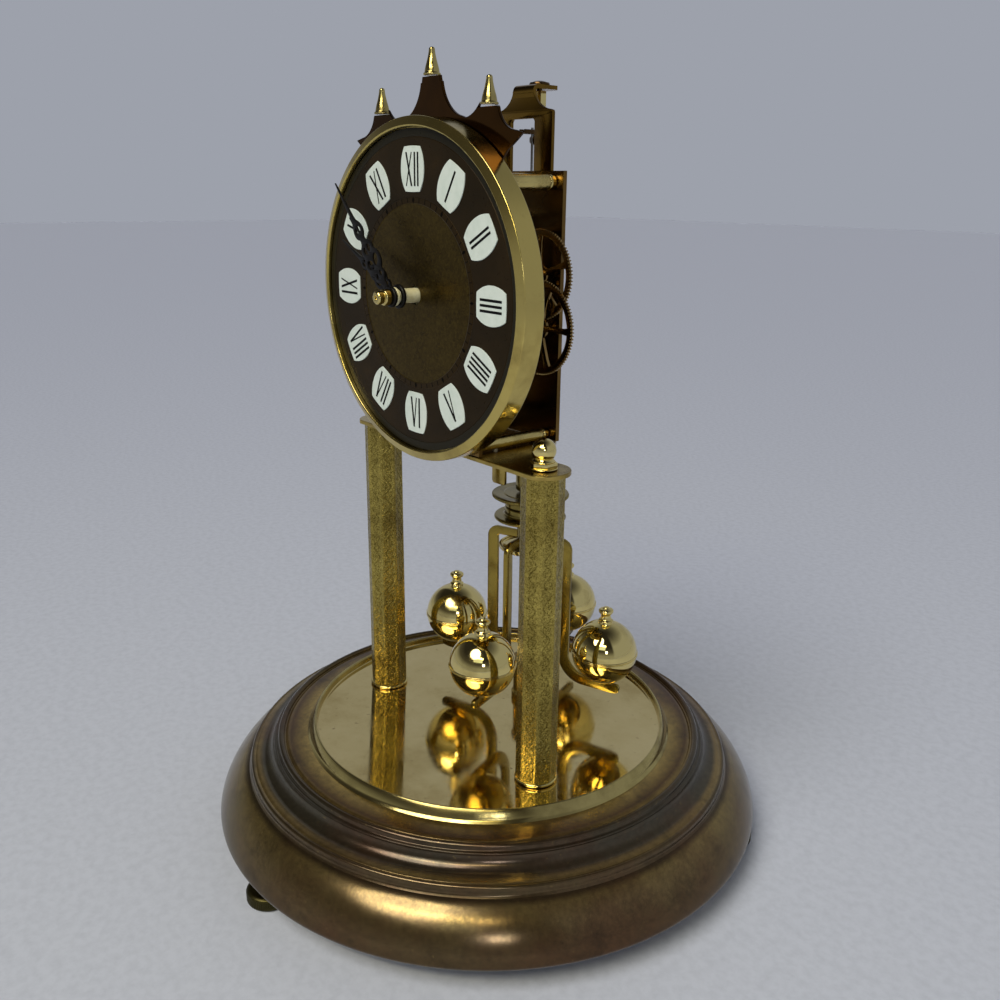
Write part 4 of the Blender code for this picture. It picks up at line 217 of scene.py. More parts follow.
class Finish:
    """A look that becomes a material on first use, with the slot that it fills."""

    name: str
    slot: str

    def made(self) -> bpy.types.Material:
        """Return the material, made on first use."""
        found = bpy.data.materials.get(self.name)
        if not found:
            sheet = Sheet(self.name)
            self.dress(sheet)
            found = sheet.material
        return found

    def dress(self, sheet: Sheet) -> None:
        """Set the shader of the new material."""
        raise NotImplementedError


@dataclass(frozen=True)
class Metal(Finish):
    """A bare or tarnished metal.

    The colour runs from bright to dark by a cloudy noise, and small specks of age lie over it.
    """

    name: str
    bright: str
    dark: str
    smooth: float
    rough: float
    slot: str
    patches: float = 45.0
    age: float = 0.5
    grain: Grain = Grain.CLOUDY
    relief: float = 0.01

    def dress(self, sheet: Sheet) -> None:
        """Blend bright and dark by clouds and specks, and mark the surface by the grain's kind."""
        cloud = sheet.noise(self.patches, 6.0, 0.6)
        fine = sheet.noise(self.patches * 14.0, 3.0, 0.6)
        share = sheet.spread(cloud, 0.62 - 0.3 * self.age, 0.8 - 0.2 * self.age, 0.0, 0.75)
        specks = sheet.spread(fine, 0.62, 0.72, 0.0, 0.35 * self.age)
        amount = sheet.math("MAXIMUM", share, specks)
        sheet.set(
            Base_Color=sheet.blend(amount, linear(self.bright), linear(self.dark)),
            Metallic=1.0,
            Roughness=sheet.spread(amount, 0.0, 0.75, self.smooth, self.rough),
            Normal=sheet.bump(self.marks(sheet, fine), self.relief, 0.6),
        )

    def marks(self, sheet: Sheet, fine: Any) -> Any:
        """Height of the fine marks, by the grain's kind."""
        if self.grain is Grain.STIPPLED:
            cells = sheet.add("ShaderNodeTexVoronoi", {"Vector": sheet.place, "Scale": 1500.0})
            return cells.outputs["Distance"]
        if self.grain is Grain.DRAWN:
            return sheet.streaks((2500.0, 60.0, 60.0))
        return fine


@dataclass(frozen=True)
class BaseLacquer(Finish):
    """Old bronze lacquer of the spun base: its colour follows the distance from the middle, and its zone
    tones hold painted highlight and reflection.
    """

    name: str = "bronze_lacquer"
    slot: str = "brown_lacquer"
    reach: float = 95.0

    def dress(self, sheet: Sheet) -> None:
        """Ramp over the radius, with painted highlights and reflections in its zone tones, clouds, stains and
        short scratches.
        """
        flat = sheet.add("ShaderNodeVectorMath", {0: sheet.place, 1: (1.0, 1.0, 0.0)}, operation="MULTIPLY")
        wander = sheet.math("MULTIPLY", sheet.math("SUBTRACT", sheet.noise(30.0), 0.5), 0.012)
        radius = sheet.math("ADD", sheet.reach(flat.outputs["Vector"], self.reach), wander)
        # Zone tones by radius: the light line at the ridge, the golden band on the flare and the lighter top
        # of the torus are painted highlight and reflection, and the grey of the ledge and cove is a painted
        # reflection; the rest is the lacquer's own tone.
        colour = sheet.ramp(radius, (
            (0.66, "b89e58"), (0.70, "957c42"), (0.735, "5c4424"), (0.752, "8e7644"), (0.765, "584a32"),
            (0.785, "4c4638"), (0.80, "504b3e"), (0.838, "564f3e"), (0.852, "947d4e"), (0.866, "927c4c"),
            (0.874, "5c4f34"), (0.885, "62543a"), (0.893, "4c402c"), (0.91, "8e7a4a"), (0.95, "7a6842"),
            (1.0, "5e4c32"),
        ))
        cloud = sheet.noise(14.0, 8.0, 0.65)
        stains = sheet.noise(70.0, 9.0, 0.75)
        layers = (
            (cloud, 0.5, 0.66, 0.6, "5e3e2a"), (cloud, 0.44, 0.3, 0.5, "5c5a34"),
            (stains, 0.5, 0.7, 0.6, "2a2116"),
            (sheet.noise(650.0, 4.0, 0.7), 0.35, 0.65, 0.35, "30281a"),
            (sheet.noise(900.0, 3.0, 0.6), 0.66, 0.74, 0.4, "a8915c"),
        )
        for layer in layers:
            colour = sheet.stain(colour, *layer)
        sheet.set(
            Base_Color=colour, Metallic=0.8, Roughness=sheet.spread(stains, 0.3, 0.75, 0.13, 0.28),
            Coat_Weight=0.08, Coat_Roughness=0.2,
            Normal=sheet.bump(sheet.streaks((900.0, 900.0, 60.0)), 0.02, 0.5),
        )


@dataclass(frozen=True)
class DeckMirror(Finish):
    """Polished brass of the deck, tarnished in clouds and with rust-like specks."""

    name: str = "deck_mirror"
    slot: str = "polished_brass"

    def dress(self, sheet: Sheet) -> None:
        """Clouded brass with specks, and a gloss that varies in swirls."""
        stops = ((0.3, "e6d296"), (0.5, "dbc688"), (0.62, "c9b274"), (0.75, "a8905a"))
        base = sheet.ramp(sheet.noise(22.0, 9.0, 0.7), stops)
        sheet.set(
            Base_Color=sheet.stain(base, sheet.noise(420.0, 5.0, 0.65), 0.64, 0.74, 0.7, "7a5a34"),
            Metallic=1.0, Roughness=sheet.spread(sheet.noise(120.0, 6.0, 0.7), 0.35, 0.7, 0.035, 0.15),
            Normal=sheet.bump(sheet.noise(60.0, 2.0, 0.5), 0.01, 0.25),
        )


@dataclass(frozen=True)
class DialPaint(Finish):
    """Dial finish: brown lacquer ring, darker border, and a brass centre with swirled age."""

    name: str = "dial_finish"
    slot: str = "dial_brown"
    reach: float = 46.5
    track: float = 26.0
    outside: float = 27.7
    border: float = 44.0

    def dress(self, sheet: Sheet) -> None:
        """Set zones by the distance from the dial's centre."""
        centred = sheet.stretched((1.0, 0.0, 1.0), (0.0, 0.0, -DIAL_CENTRE[1] * MM))
        radius = sheet.reach(centred, self.reach)
        swirl = sheet.noise(700.0, 4.0, 0.6, 1.6)
        grain = sheet.ramp(swirl, ((0.36, "3a2d0f"), (0.5, "453714"), (0.62, "52431a")))
        plain = sheet.stain(grain, sheet.noise(22.0, 4.0, 0.55), 0.4, 0.68, 0.4, "5c4c20")
        vein = sheet.math("ABSOLUTE", sheet.math("SUBTRACT", sheet.noise(260.0, 2.0, 0.5, 1.8), 0.5))
        brass = sheet.blend(sheet.spread(vein, 0.0, 0.02, 0.4, 0.0), plain, linear("1c1505"))
        ring = sheet.ramp(sheet.noise(60.0, 6.0, 0.6), ((0.35, "231b0c"), (0.6, "2c210f"), (0.75, "382912")))
        track, outside, border = (
            sheet.math("GREATER_THAN", radius, edge / self.reach)
            for edge in (self.track, self.outside, self.border)
        )
        colour = sheet.blend(track, brass, linear("3a2c14"))
        colour = sheet.blend(outside, colour, ring)
        sheet.set(
            Base_Color=sheet.blend(border, colour, linear("27241a")),
            Metallic=sheet.spread(outside, 0.0, 1.0, 0.9, 0.4),
            Roughness=sheet.spread(swirl, 0.3, 0.7, 0.26, 0.4),
            Specular_IOR_Level=0.1, Normal=sheet.bump(swirl, 0.012, 0.4),
        )


@dataclass(frozen=True)
class EngravedBrass(Finish):
    """Stamped and engraved brass: bright on its raised parts, darker in the cuts."""

    name: str = "pillar_brass"
    slot: str = "satin_brass"
    attribute: str = "cut"

    def dress(self, sheet: Sheet) -> None:
        """Let the cut's depth, kept on the mesh, and fine strokes drive colour and roughness."""
        cut = sheet.add("ShaderNodeAttribute", attribute_name=self.attribute).outputs["Fac"]
        fine = sheet.noise(1000.0, 4.0, 0.6, 2.2)
        stops = ((0.35, "c4b05c"), (0.55, "ae9a4e"), (0.72, "867238"))
        bright = sheet.ramp(sheet.noise(55.0, 6.0, 0.6), stops)
        depth = sheet.math("ADD", sheet.math("MULTIPLY", cut, 0.5), sheet.spread(fine, 0.4, 0.6, 0.0, 0.7))
        sheet.set(
            Base_Color=sheet.stain(bright, depth, 0.1, 1.0, 0.85, "463a14"),
            Metallic=1.0, Roughness=sheet.spread(depth, 0.0, 1.0, 0.12, 0.34),
            Normal=sheet.bump(fine, 0.12, 1.0),
        )


@dataclass(frozen=True)
class Paint(Finish):
    """A non-metal paint or enamel with a faint mottle."""

    name: str
    colour: str
    shade: str
    roughness: float
    slot: str
    coat: float = 0.0
    gloss: float = 0.5

    def dress(self, sheet: Sheet) -> None:
        """Mottle the colour and the roughness a little."""
        cloud = sheet.noise(300.0, 4.0, 0.6)
        sheet.set(
            Base_Color=sheet.stain(linear(self.colour), cloud, 0.4, 0.7, 1.0, self.shade),
            Metallic=0.0, Coat_Weight=self.coat, Coat_Roughness=0.1, Specular_IOR_Level=self.gloss,
            Roughness=sheet.spread(cloud, 0.3, 0.7, self.roughness * 0.85, self.roughness * 1.2),
            Normal=sheet.bump(cloud, 0.004, 0.3),
        )


POLISHED = Metal("polished_brass_look", "e4d18a", "9a8448", 0.05, 0.2, "polished_brass", 60.0, 0.4)
BEZEL_BRASS = Metal("bezel_brass", "cfba6c", "846e3a", 0.16, 0.3, "polished_brass", 50.0, 0.35)
BEAD_BRASS = Metal("bead_brass", "bcab6c", "74643a", 0.14, 0.28, "polished_brass", 60.0, 0.5)
# Darkened brass for the hub and the rating disc: painted dark reflection of the room above.
DARK_REFLECTION_DISC_BRASS = Metal("dark_reflection_disc_brass", "8e7e44", "3c3319", 0.16, 0.32, "satin_brass", 60.0, 0.5)
SATIN = Metal("satin_brass_look", "b8a056", "5f4c22", 0.16, 0.36, "satin_brass", 70.0, 0.5)
# Darker than the satin brass: painted shade, standing for the shaded arms of the frames.
SHADED_FRAME_BRASS = Metal("frame_brass", "a28c42", "54421c", 0.18, 0.36, "satin_brass", 80.0, 0.45, Grain.DRAWN)
PLATE_BRASS = Metal("plate_brass", "7d6234", "38260f", 0.18, 0.36, "satin_brass", 45.0, 0.6, Grain.DRAWN)
# Darkened brass for the bracket: painted dark reflection on its face.
DARK_REFLECTION_BRACKET_BRASS = Metal("dark_reflection_bracket_brass", "7c5f26", "3a2608", 0.14, 0.3, "satin_brass", 60.0, 0.5)
STIPPLE = Metal(
    "stippled_brass", "d8c47c", "86703e", 0.22, 0.36, "satin_brass", 60.0, 0.5, Grain.STIPPLED, 0.06,
)
BRONZE = Metal("dark_bronze_look", "5a4428", "23180d", 0.2, 0.36, "dark_bronze", 60.0, 0.6)
WHEEL_BRASS = Metal("wheel_brass", "a08450", "54401f", 0.16, 0.3, "dark_bronze", 60.0, 0.5)
CROWN_BRASS = Metal("crown_brass", "432a0c", "241503", 0.1, 0.18, "dark_bronze", 40.0, 0.5)
BARREL_BRASS = Metal("barrel_brass", "4a3422", "1a110b", 0.2, 0.36, "dark_bronze", 60.0, 0.6)
STEEL = Metal("bright_steel", "a9a9a6", "5c5750", 0.2, 0.38, "steel", 90.0, 0.5)
PILLAR_BRASS = EngravedBrass()
LACQUER = BaseLacquer()
DECK_MIRROR = DeckMirror()
DIAL_PAINT = DialPaint()
FOOT_BRASS = Metal("foot_brass", "4c4628", "1f1c10", 0.32, 0.5, "dark_bronze", 90.0, 0.7)
BLACK = Paint("hand_black", "0b0a09", "14110e", 0.34, "blackened_steel", 0.03, 0.14)
ENAMEL = Paint("white_enamel", "d3ddd6", "c9d5cd", 0.4, "dial_brown", 0.1, 0.4)
INK = Paint("numeral_black", "0a0a0a", "121110", 0.45, "dial_brown", 0.0, 0.08)
TRACK_INK = Paint("track_ink", "0e0b07", "14100a", 0.5, "dial_brown", 0.0, 0.05)
IVORY = Paint("washer_pale", "e2dcb4", "cfc592", 0.3, "satin_brass", 0.3)


def placed(first: Array, second: Array, height: Array, axis: Axis) -> Array:
    """Points from two plane coordinates and a height along the axis."""
    order = (first, second, height) if axis is Axis.UP else (first, height, second)
    return np.stack(np.broadcast_arrays(*order), axis=-1)


def grid_faces(rows: int, columns: int, wrap_rows: bool, wrap_columns: bool) -> Array:
    """Four corner numbers of each cell of a grid, each side joined round where asked."""
    i, j = np.indices((rows - (not wrap_rows), columns - (not wrap_columns)))
    down, right = (i + 1) % rows, (j + 1) % columns
    corners = (i * columns + j, i * columns + right, down * columns + right, down * columns + j)
    return np.stack(corners, axis=-1).reshape(-1, 4)


def mesh_piece(name: str, points: Array, faces: Array | list, finish: Finish, angle: float = CREASE) -> Any:
    """Make an object at the origin from points in millimetres.

    Doubles at seams and poles are merged, and the normals point outwards.

    Args:
        name: the piece's name.
        points: an array of shape (n, 3).
        faces: corner numbers of each face.
        finish: the finish whose material it gets.
        angle: edges sharper than this many degrees stay sharp.

    Returns:
        The new object.
    """
    mesh = bpy.data.meshes.new(name)
    mesh.from_pydata((np.asarray(points, float) * MM).tolist(), [], [list(map(int, face)) for face in faces])
    shape = bmesh.new()
    shape.from_mesh(mesh)
    bmesh.ops.remove_doubles(shape, verts=shape.verts, dist=0.0000005)
    bmesh.ops.dissolve_degenerate(shape, edges=shape.edges, dist=0.0000002)
    bmesh.ops.recalc_face_normals(shape, faces=shape.faces)
    shape.to_mesh(mesh)
    shape.free()
    mesh.materials.append(finish.made())
    mesh.shade_smooth()
    mesh.set_sharp_from_angle(angle=math.radians(angle))
    piece = bpy.data.objects.new(name, mesh)
    bpy.context.scene.collection.objects.link(piece)
    return piece


def joined(name: str, parts: Sequence[Shape], finish: Finish, angle: float) -> Any:
    """One object from several shapes."""
    offsets = np.cumsum([0] + [len(points) for points, _ in parts])
    faces = [list(np.asarray(face) + offset) for (_, group), offset in zip(parts, offsets) for face in group]
    return mesh_piece(name, np.concatenate([points for points, _ in parts]), faces, finish, angle)


def eased(corners: Sequence[Sequence[float]]) -> Array:
    """Profile whose corners are rounded.

    Each corner is (radius, height) or (radius, height, easing). An eased corner P becomes the curve
    (1-t)^2 A + 2t(1-t) P + t^2 C, where A and C lie the easing's length away on its two sides.
    """
    points = np.array([corner[:2] for corner in corners], float)
    rounded: list[Array] = []
    for index, corner in enumerate(corners):
        if len(corner) < 3 or index in (0, len(corners) - 1):
            rounded.append(points[index:index + 1])
            continue
        sides = [points[index - 1] - points[index], points[index + 1] - points[index]]
        spans = [float(np.hypot(*side)) for side in sides]
        reach = [min(corner[2], 0.48 * span) / max(span, 1e-9) for span in spans]
        start, end = points[index] + sides[0] * reach[0], points[index] + sides[1] * reach[1]
        t = np.linspace(0.0, 1.0, EASE_STEPS)[:, None]
        rounded.append((1 - t) ** 2 * start + 2 * t * (1 - t) * points[index] + t ** 2 * end)
    return np.concatenate(rounded)


def around(centre: Pair, radius: Array | float, angle: Array) -> Array:
    """Plane points at a distance and an angle from a centre."""
    return np.stack([centre[0] + radius * np.cos(angle), centre[1] + radius * np.sin(angle)], axis=-1)


def clockwise(points: Array, turn: float, centre: Pair) -> Array:
    """Turn points, drawn as (across, out) from a centre, clockwise about it."""
    across, out = points[..., 0], points[..., 1]
    x = across * math.cos(turn) + out * math.sin(turn)
    z = -across * math.sin(turn) + out * math.cos(turn)
    return np.stack([centre[0] + x, centre[1] + z], axis=-1)


def bow(centre: Pair, radius: Pair | float, start: float, end: float, steps: int = 12) -> Array:
    """Points of an ellipse's arc between two angles in degrees."""
    wide, high = radius if isinstance(radius, tuple) else (radius, radius)
    angle = np.radians(np.linspace(start, end, steps))
    return np.stack([centre[0] + wide * np.cos(angle), centre[1] + high * np.sin(angle)], axis=1)


def supported(profile: Array, closed: bool) -> Array:
    """Profile with an extra point near the ends of its long sides.

    A side over three times as long as its neighbour gets a point at the neighbour's length, or a fifth
    of its own, from the corner, so that broad faces shade flat beside eased corners.
    """
    count = len(profile)
    following = np.roll(profile, -1, axis=0)
    steps = following - profile
    lengths = np.hypot(steps[:, 0], steps[:, 1])
    last = count if closed else count - 1
    rows = []
    for index in range(count):
        rows.append(profile[index])
        length = lengths[index]
        before = lengths[index - 1] if closed or index else length
        after = lengths[(index + 1) % count] if closed or index + 1 < last else length
        if index < last and 0.001 < before < length / 3.0:
            rows.append(profile[index] + steps[index] * min(before / length, 0.2))
        if index < last and 0.001 < after < length / 3.0:
            rows.append(following[index] - steps[index] * min(after / length, 0.2))
    return np.array(rows)


def turned_shape(
    profile: Array, segments: int, centre: Pair, closed: bool = False, axis: Axis = Axis.BACK,
    ripple: Ripple | None = None,
) -> Shape:
    """Surface of revolution: the point at (r, h) and angle a lies at (r cos a, r sin a) round the centre.

    Args:
        profile: points (radius, height), in order.
        segments: number of steps round.
        centre: where the axis passes.
        closed: whether the last point joins the first.
        axis: the axis that it is turned about.
        ripple: changes the radius by (radius, angle), for knurling.

    Returns:
        Points and faces.
    """
    profile = supported(np.asarray(profile, float), closed)
    angle = np.linspace(0.0, TAU, segments, endpoint=False)[None, :]
    radius = np.repeat(profile[:, :1], segments, axis=1)
    if ripple:
        radius = ripple(radius, angle)
    plan = around(centre, radius, angle)
    points = placed(plan[..., 0], plan[..., 1], profile[:, 1:2], axis)
    return points.reshape(-1, 3), grid_faces(len(profile), segments, closed, True)


def flat_shape(
    outlines: Sequence[Array], low: float, high: float, bevel: float = 0.0, axis: Axis = Axis.BACK,
    turn: float = 0.0, about: Pair = (0.0, 0.0),
) -> Shape:
    """Flat plate with holes and eased edges, made as a filled flat curve.

    Args:
        outlines: the outline and its holes, as arrays of points.
        low: one face's place along the axis.
        high: the other face's place.
        bevel: width of the eased edge.
        axis: the plate's thickness direction.
        turn: angle in radians about the vertical through about.
        about: where that vertical passes, in x and y.

    Returns:
        Points and faces.
    """
    curve = bpy.data.curves.new("flat", "CURVE")
    curve.dimensions, curve.fill_mode = "2D", "BOTH"
    curve.extrude = (high - low) / 2.0 - bevel
    curve.bevel_depth, curve.bevel_resolution, curve.offset = bevel, 1, -bevel
    for outline in outlines:
        spline = curve.splines.new("POLY")
        spline.points.add(len(outline) - 1)
        rows = np.concatenate([outline, np.zeros((len(outline), 1)), np.ones((len(outline), 1))], axis=1)
        spline.points.foreach_set("co", rows.ravel())
        spline.use_cyclic_u = True
    holder = bpy.data.objects.new("flat", curve)
    bpy.context.scene.collection.objects.link(holder)
    bpy.context.view_layer.update()
    mesh = bpy.data.meshes.new_from_object(holder.evaluated_get(bpy.context.evaluated_depsgraph_get()))
    points = np.zeros(len(mesh.vertices) * 3)
    mesh.vertices.foreach_get("co", points)
    faces = [list(polygon.vertices) for polygon in mesh.polygons]
    bpy.data.objects.remove(holder)
    bpy.data.curves.remove(curve)
    bpy.data.meshes.remove(mesh)
    points = points.reshape(-1, 3)
    solid = placed(points[:, 0], points[:, 1], points[:, 2] + (low + high) / 2.0, axis)
    if turn or about != (0.0, 0.0):
        spun = solid[:, :2] @ np.array([[math.cos(turn), math.sin(turn)], [-math.sin(turn), math.cos(turn)]])
        solid = np.concatenate([spun + np.array(about), solid[:, 2:]], axis=1)
    return solid, faces


def ring(radius: float, centre: Pair = (0.0, 0.0), count: int = 32, start: float = 0.0) -> Array:
    """Points round a circle."""
    angle = np.linspace(0.0, TAU, count, endpoint=False) + start
    return around(centre, radius, angle)


def mirrored(points: Array) -> Array:
    """A closed outline from its right half."""
    points = np.asarray(points, float)
    return np.concatenate([points, points[::-1] * np.array([-1.0, 1.0])])


def softened(points: Array, passes: int = 2) -> Array:
    """A closed outline with its corners cut: each side keeps its points at a quarter and three quarters."""
    for _ in range(passes):
        following = np.roll(points, -1, axis=0)
        pairs = (0.75 * points + 0.25 * following, 0.25 * points + 0.75 * following)
        points = np.stack(pairs, axis=1).reshape(-1, 2)
    return points


def strap_shape(path: Array, half_widths: Array, thickness: float) -> Shape:
    """Bent sheet: a path in (y, z) with a width across it in x, and a thickness along its normal."""
    path = np.asarray(path, float)
    ahead = np.gradient(path, axis=0)
    ahead /= np.linalg.norm(ahead, axis=1)[:, None]
    side = np.stack([-ahead[:, 1], ahead[:, 0]], axis=1) * thickness / 2.0
    outer, inner = path + side, path - side
    width = np.asarray(half_widths, float)
    edges = [(-width, outer), (width, outer), (width, inner), (-width, inner)]
    points = np.stack([np.column_stack([across, edge]) for across, edge in edges], axis=1)
    count = len(path)
    faces = grid_faces(count, 4, False, True).tolist() + [[0, 1, 2, 3], [4 * count - 1 - k for k in range(4)]]
    return points.reshape(-1, 3), faces


def rectangle(centre: Pair, wide: float, high: float) -> Array:
    """Corners of a rectangle from its middle and its half sizes."""
    x, z = centre
    return np.array([(x - wide, z - high), (x + wide, z - high), (x + wide, z + high), (x - wide, z + high)])


def block_shape(low: Sequence[float], high: Sequence[float], ease: float = 0.15) -> Shape:
    """Rectangular block with eased vertical edges."""
    x, y = (low[0] + high[0]) / 2.0, (low[1] + high[1]) / 2.0
    wide, deep = (high[0] - low[0]) / 2.0, (high[1] - low[1]) / 2.0
    outline = rectangle((x, y), wide, deep)
    return flat_shape([outline], low[2], high[2], ease, Axis.UP)


def bar_shape(quads: Array, low: float, high: float) -> Shape:
    """Thin bars: each quad of plane corners, given as (k, 4, 2), becomes a box between two depths."""
    quads = np.asarray(quads, float)
    front = placed(quads[..., 0], quads[..., 1], np.full(quads.shape[:2], low), Axis.BACK)
    back = placed(quads[..., 0], quads[..., 1], np.full(quads.shape[:2], high), Axis.BACK)
    points = np.concatenate([front, back], axis=1).reshape(-1, 3)
    sides = np.array([[0, 1, 2, 3], [7, 6, 5, 4], [0, 4, 5, 1], [1, 5, 6, 2], [2, 6, 7, 3], [3, 7, 4, 0]])
    faces = (np.arange(len(quads))[:, None, None] * 8 + sides).reshape(-1, 4)
    return points, faces


def gear_outline(teeth: int, module: float, phase: float, centre: Pair, tip_share: float = 0.3) -> Array:
    """Outline of a gear with six points a tooth: gap floor, flank, rounded tip, flank."""
    pitch = TAU / teeth
    middle = phase + np.arange(teeth)[:, None] * pitch
    spread = np.array([-0.32, -0.2, -0.4 * tip_share, 0.4 * tip_share, 0.2, 0.32]) * pitch
    rise = np.array([-1.15, -0.1, 0.74, 0.74, -0.1, -1.15]) * module
    radius = module * teeth / 2.0 + rise[None, :]
    angle = middle + spread[None, :]
    return around(centre, radius, angle).reshape(-1, 2)


def mesh_phase(centre: Pair, phase: float, teeth: int, other: Pair, other_teeth: int) -> float:
    """Phase of the other gear that puts its gap over the tooth that meets it."""
    line = math.atan2(other[1] - centre[1], other[0] - centre[0])
    return line + math.pi + math.pi / other_teeth - (phase - line) * teeth / other_teeth


@dataclass
class Ledger:
    """Puts finished pieces on their bodies and reports them."""

    pieces: list[str] = field(default_factory=list)

    def enter(self, piece: Any, body: str, finish: Finish, *nodes: str) -> Any:
        """Ride a piece on a body and the solids that it stands for.

        Args:
            piece: the finished object.
            body: the body that it moves with.
            finish: the finish that it wears; not used.
            nodes: solids of the frame that it replaces.

        Returns:
            The piece.
        """
        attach(piece, body)
        if nodes:
            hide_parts(*nodes)
        self.pieces.append(piece.name)
        LOG.info("%s rides on %s", piece.name, body)
        return piece


@dataclass
class Assembly:
    """A group of the clock's pieces."""

    ledger: Ledger

    def add(
        self, name: str, finish: Finish, *shapes: Shape,
        body: str = ROOT, solid: str = "", angle: float = CREASE,
    ) -> Any:
        """Make a piece and enter it.

        A piece whose name ends in _look stands for a solid: for the one named, or for its own namesake.

        Args:
            name: the piece's name.
            finish: the finish that it wears.
            shapes: its shapes.
            body: the body that it moves with.
            solid: the solid that it replaces, where the name doesn't say so.
            angle: edges sharper than this many degrees stay sharp.

        Returns:
            The piece.
        """
        nodes = [solid or name.removesuffix(LOOK)] if name.endswith(LOOK) else []
        return self.ledger.enter(joined(name, shapes, finish, angle), body, finish, *nodes)

    def turned(
        self, name: str, finish: Finish, profile: Array, segments: int, axis: Axis = Axis.UP,
        centre: Pair = (0.0, 0.0), closed: bool = False, ripple: Ripple | None = None, **entry: str,
    ) -> None:
        """Add a piece turned on a lathe; see turned_shape and add."""
        shape = turned_shape(profile, segments, centre, closed, axis, ripple)
        self.add(name, finish, shape, angle=TURNED_CREASE, **entry)

    def flat(
        self, name: str, finish: Finish, outlines: Sequence[Array], low: float, high: float, bevel: float,
        axis: Axis = Axis.BACK, **entry: str,
    ) -> None:
        """Add a flat plate; see flat_shape and add."""
        self.add(name, finish, flat_shape(outlines, low, high, bevel, axis), angle=FLAT_CREASE, **entry)


@dataclass
class Base(Assembly):
    """Spun base, polished deck, guide cup and levelling feet."""

    radius: float = 94.92
    widest: float = 10.5
    rim: float = 5.0
    roll: float = 1.9
    wall: float = 1.2
    deck_top: float = 36.0
    bead: Pair = (61.9, 36.95)
    foot_orbit: float = 87.5
    foot_radius: float = 7.5
    foot_height: float = 4.6
    foot_angles: Triple = (-92.0, 34.5, 141.5)
    torus_start: float = 83.3
    torus_rise: float = 14.6
    cup_y: float = PENDULUM_Y

    def build(self) -> None:
        """Make every piece of the base."""
        self.shell()
        self.deck()
        self.cup()
        for number, angle in enumerate(self.foot_angles, 1):
            self.foot(number, math.radians(angle))

    def shell(self) -> None:
        """Stepped shell: slope, ridge, ledge, cove, flare, torus and rolled edge, a plain skin inside.

        The torus is the curve |x / a|^1.5 + |y / b|^1.5 = 1 from its top to its widest place.
        """
        turn = np.radians(np.linspace(83.0, 0.0, 24))
        swell, power = self.radius - self.torus_start, 4.0 / 3.0
        across, up = swell * np.cos(turn) ** power, self.torus_rise * np.sin(turn) ** power
        torus = np.stack([self.torus_start + across, self.widest + up], axis=1)
        hem = self.radius - self.roll
        outer = np.concatenate([
            [(0.0, 34.7), (63.4, 34.7)],
            eased([(63.4, 34.7), (71.0, 34.25, 1.0), (71.7, 33.7, 0.5), (72.1, 33.9)]),
            bow((73.2, 34.0), 1.1, 175.0, 10.0, 10),
            eased([(74.3, 33.9), (74.45, 33.25, 0.4), (75.5, 33.2, 0.25), (75.55, 32.6)]),
            bow((79.9, 33.1), 4.45, 188.0, 268.0, 12),
            eased([(79.9, 28.65), (81.9, 28.3, 0.8), (82.2, 28.1)]),
            bow((82.85, 27.35), 0.85, 110.0, -12.0, 8),
            eased([(83.75, 27.0), (83.75, 25.7, 0.5), (84.4, 24.95)]),
            torus,
            bow((hem, self.widest), self.roll, -12.0, -65.0, 7),
            eased([(88.0, 6.1), (85.75, self.rim, 1.0), (79.4, self.rim)]),
        ])
        inner = np.concatenate([
            [(79.4, self.rim + self.wall), (85.4, self.rim + self.wall)],
            bow((hem, self.widest), self.roll - self.wall, -65.0, 0.0, 5),
            [(93.0, 12.4), (91.0, 16.4), (88.0, 20.2), (84.3, 23.2)],
            eased([(83.0, 25.6), (80.0, 27.2, 1.0), (75.2, 28.8, 2.0), (73.6, 32.2, 1.0), (63.0, 33.4, 2.0),
                   (0.0, 33.4)]),
        ])
        profile = np.concatenate([outer, inner])
        self.turned("base_shell_look", LACQUER, profile, 224)

    def deck(self) -> None:
        """Mirror pan, and round it a rounded lip with a short cone outside."""
        x, z = self.bead
        top = np.concatenate([
            [(0.0, self.deck_top), (60.0, self.deck_top)],
            eased([(60.0, self.deck_top), (60.5, 36.05, 0.3), (60.6, 36.4)]),
        ])
        bottom = self.deck_top - 1.0
        pan = np.concatenate([top, [(60.9, 36.4), (60.9, bottom), (0.0, bottom)]])
        self.turned("deck_look", DECK_MIRROR, pan, 200, solid="base_deck")
        roll = np.concatenate([
            [(x - 1.0, bottom), (x - 1.0, z + 0.8)], bow((x - 0.5, z + 0.8), (0.5, 0.6), 180.0, 32.0, 12),
            eased([(x + 0.35, z + 0.6, 2.5), (x + 1.35, bottom + 0.5, 0.35), (x + 2.1, bottom - 0.25)]),
            [(x + 1.4, bottom - 0.6)],
        ])
        self.turned("deck_bead", BEAD_BRASS, roll, 200, closed=True)

    def cup(self) -> None:
        """Guide cup with a lip, a waist and its bore."""
        profile = eased([
            (0.0, 38.5), (3.4, 38.5, 0.3), (3.4, 52.0, 0.3), (3.9, 52.3, 0.2), (5.3, 52.3, 0.3),
            (5.5, 51.6, 0.3), (5.5, 50.4, 0.3), (4.9, 50.0, 0.4), (4.9, 39.4, 1.0), (5.5, 38.6, 0.3),
            (5.5, 36.4, 0.2), (5.2, 36.2), (0.0, 36.2),
        ])
        self.turned("guide_cup_look", SATIN, profile, 64, centre=(0.0, self.cup_y))

    def foot(self, number: int, angle: float) -> None:
        """Knurled foot: the radius swings by a tooth's depth round the rim."""
        low, high = 0.9, self.foot_height - 0.9

        def knurl(radius: Array, turn: Array) -> Array:
            """Raise teeth on the rim alone."""
            teeth = 0.16 * np.abs(np.sin(turn * 34.0))
            return np.where(radius > self.foot_radius - 0.15, radius - 0.2 + teeth, radius)

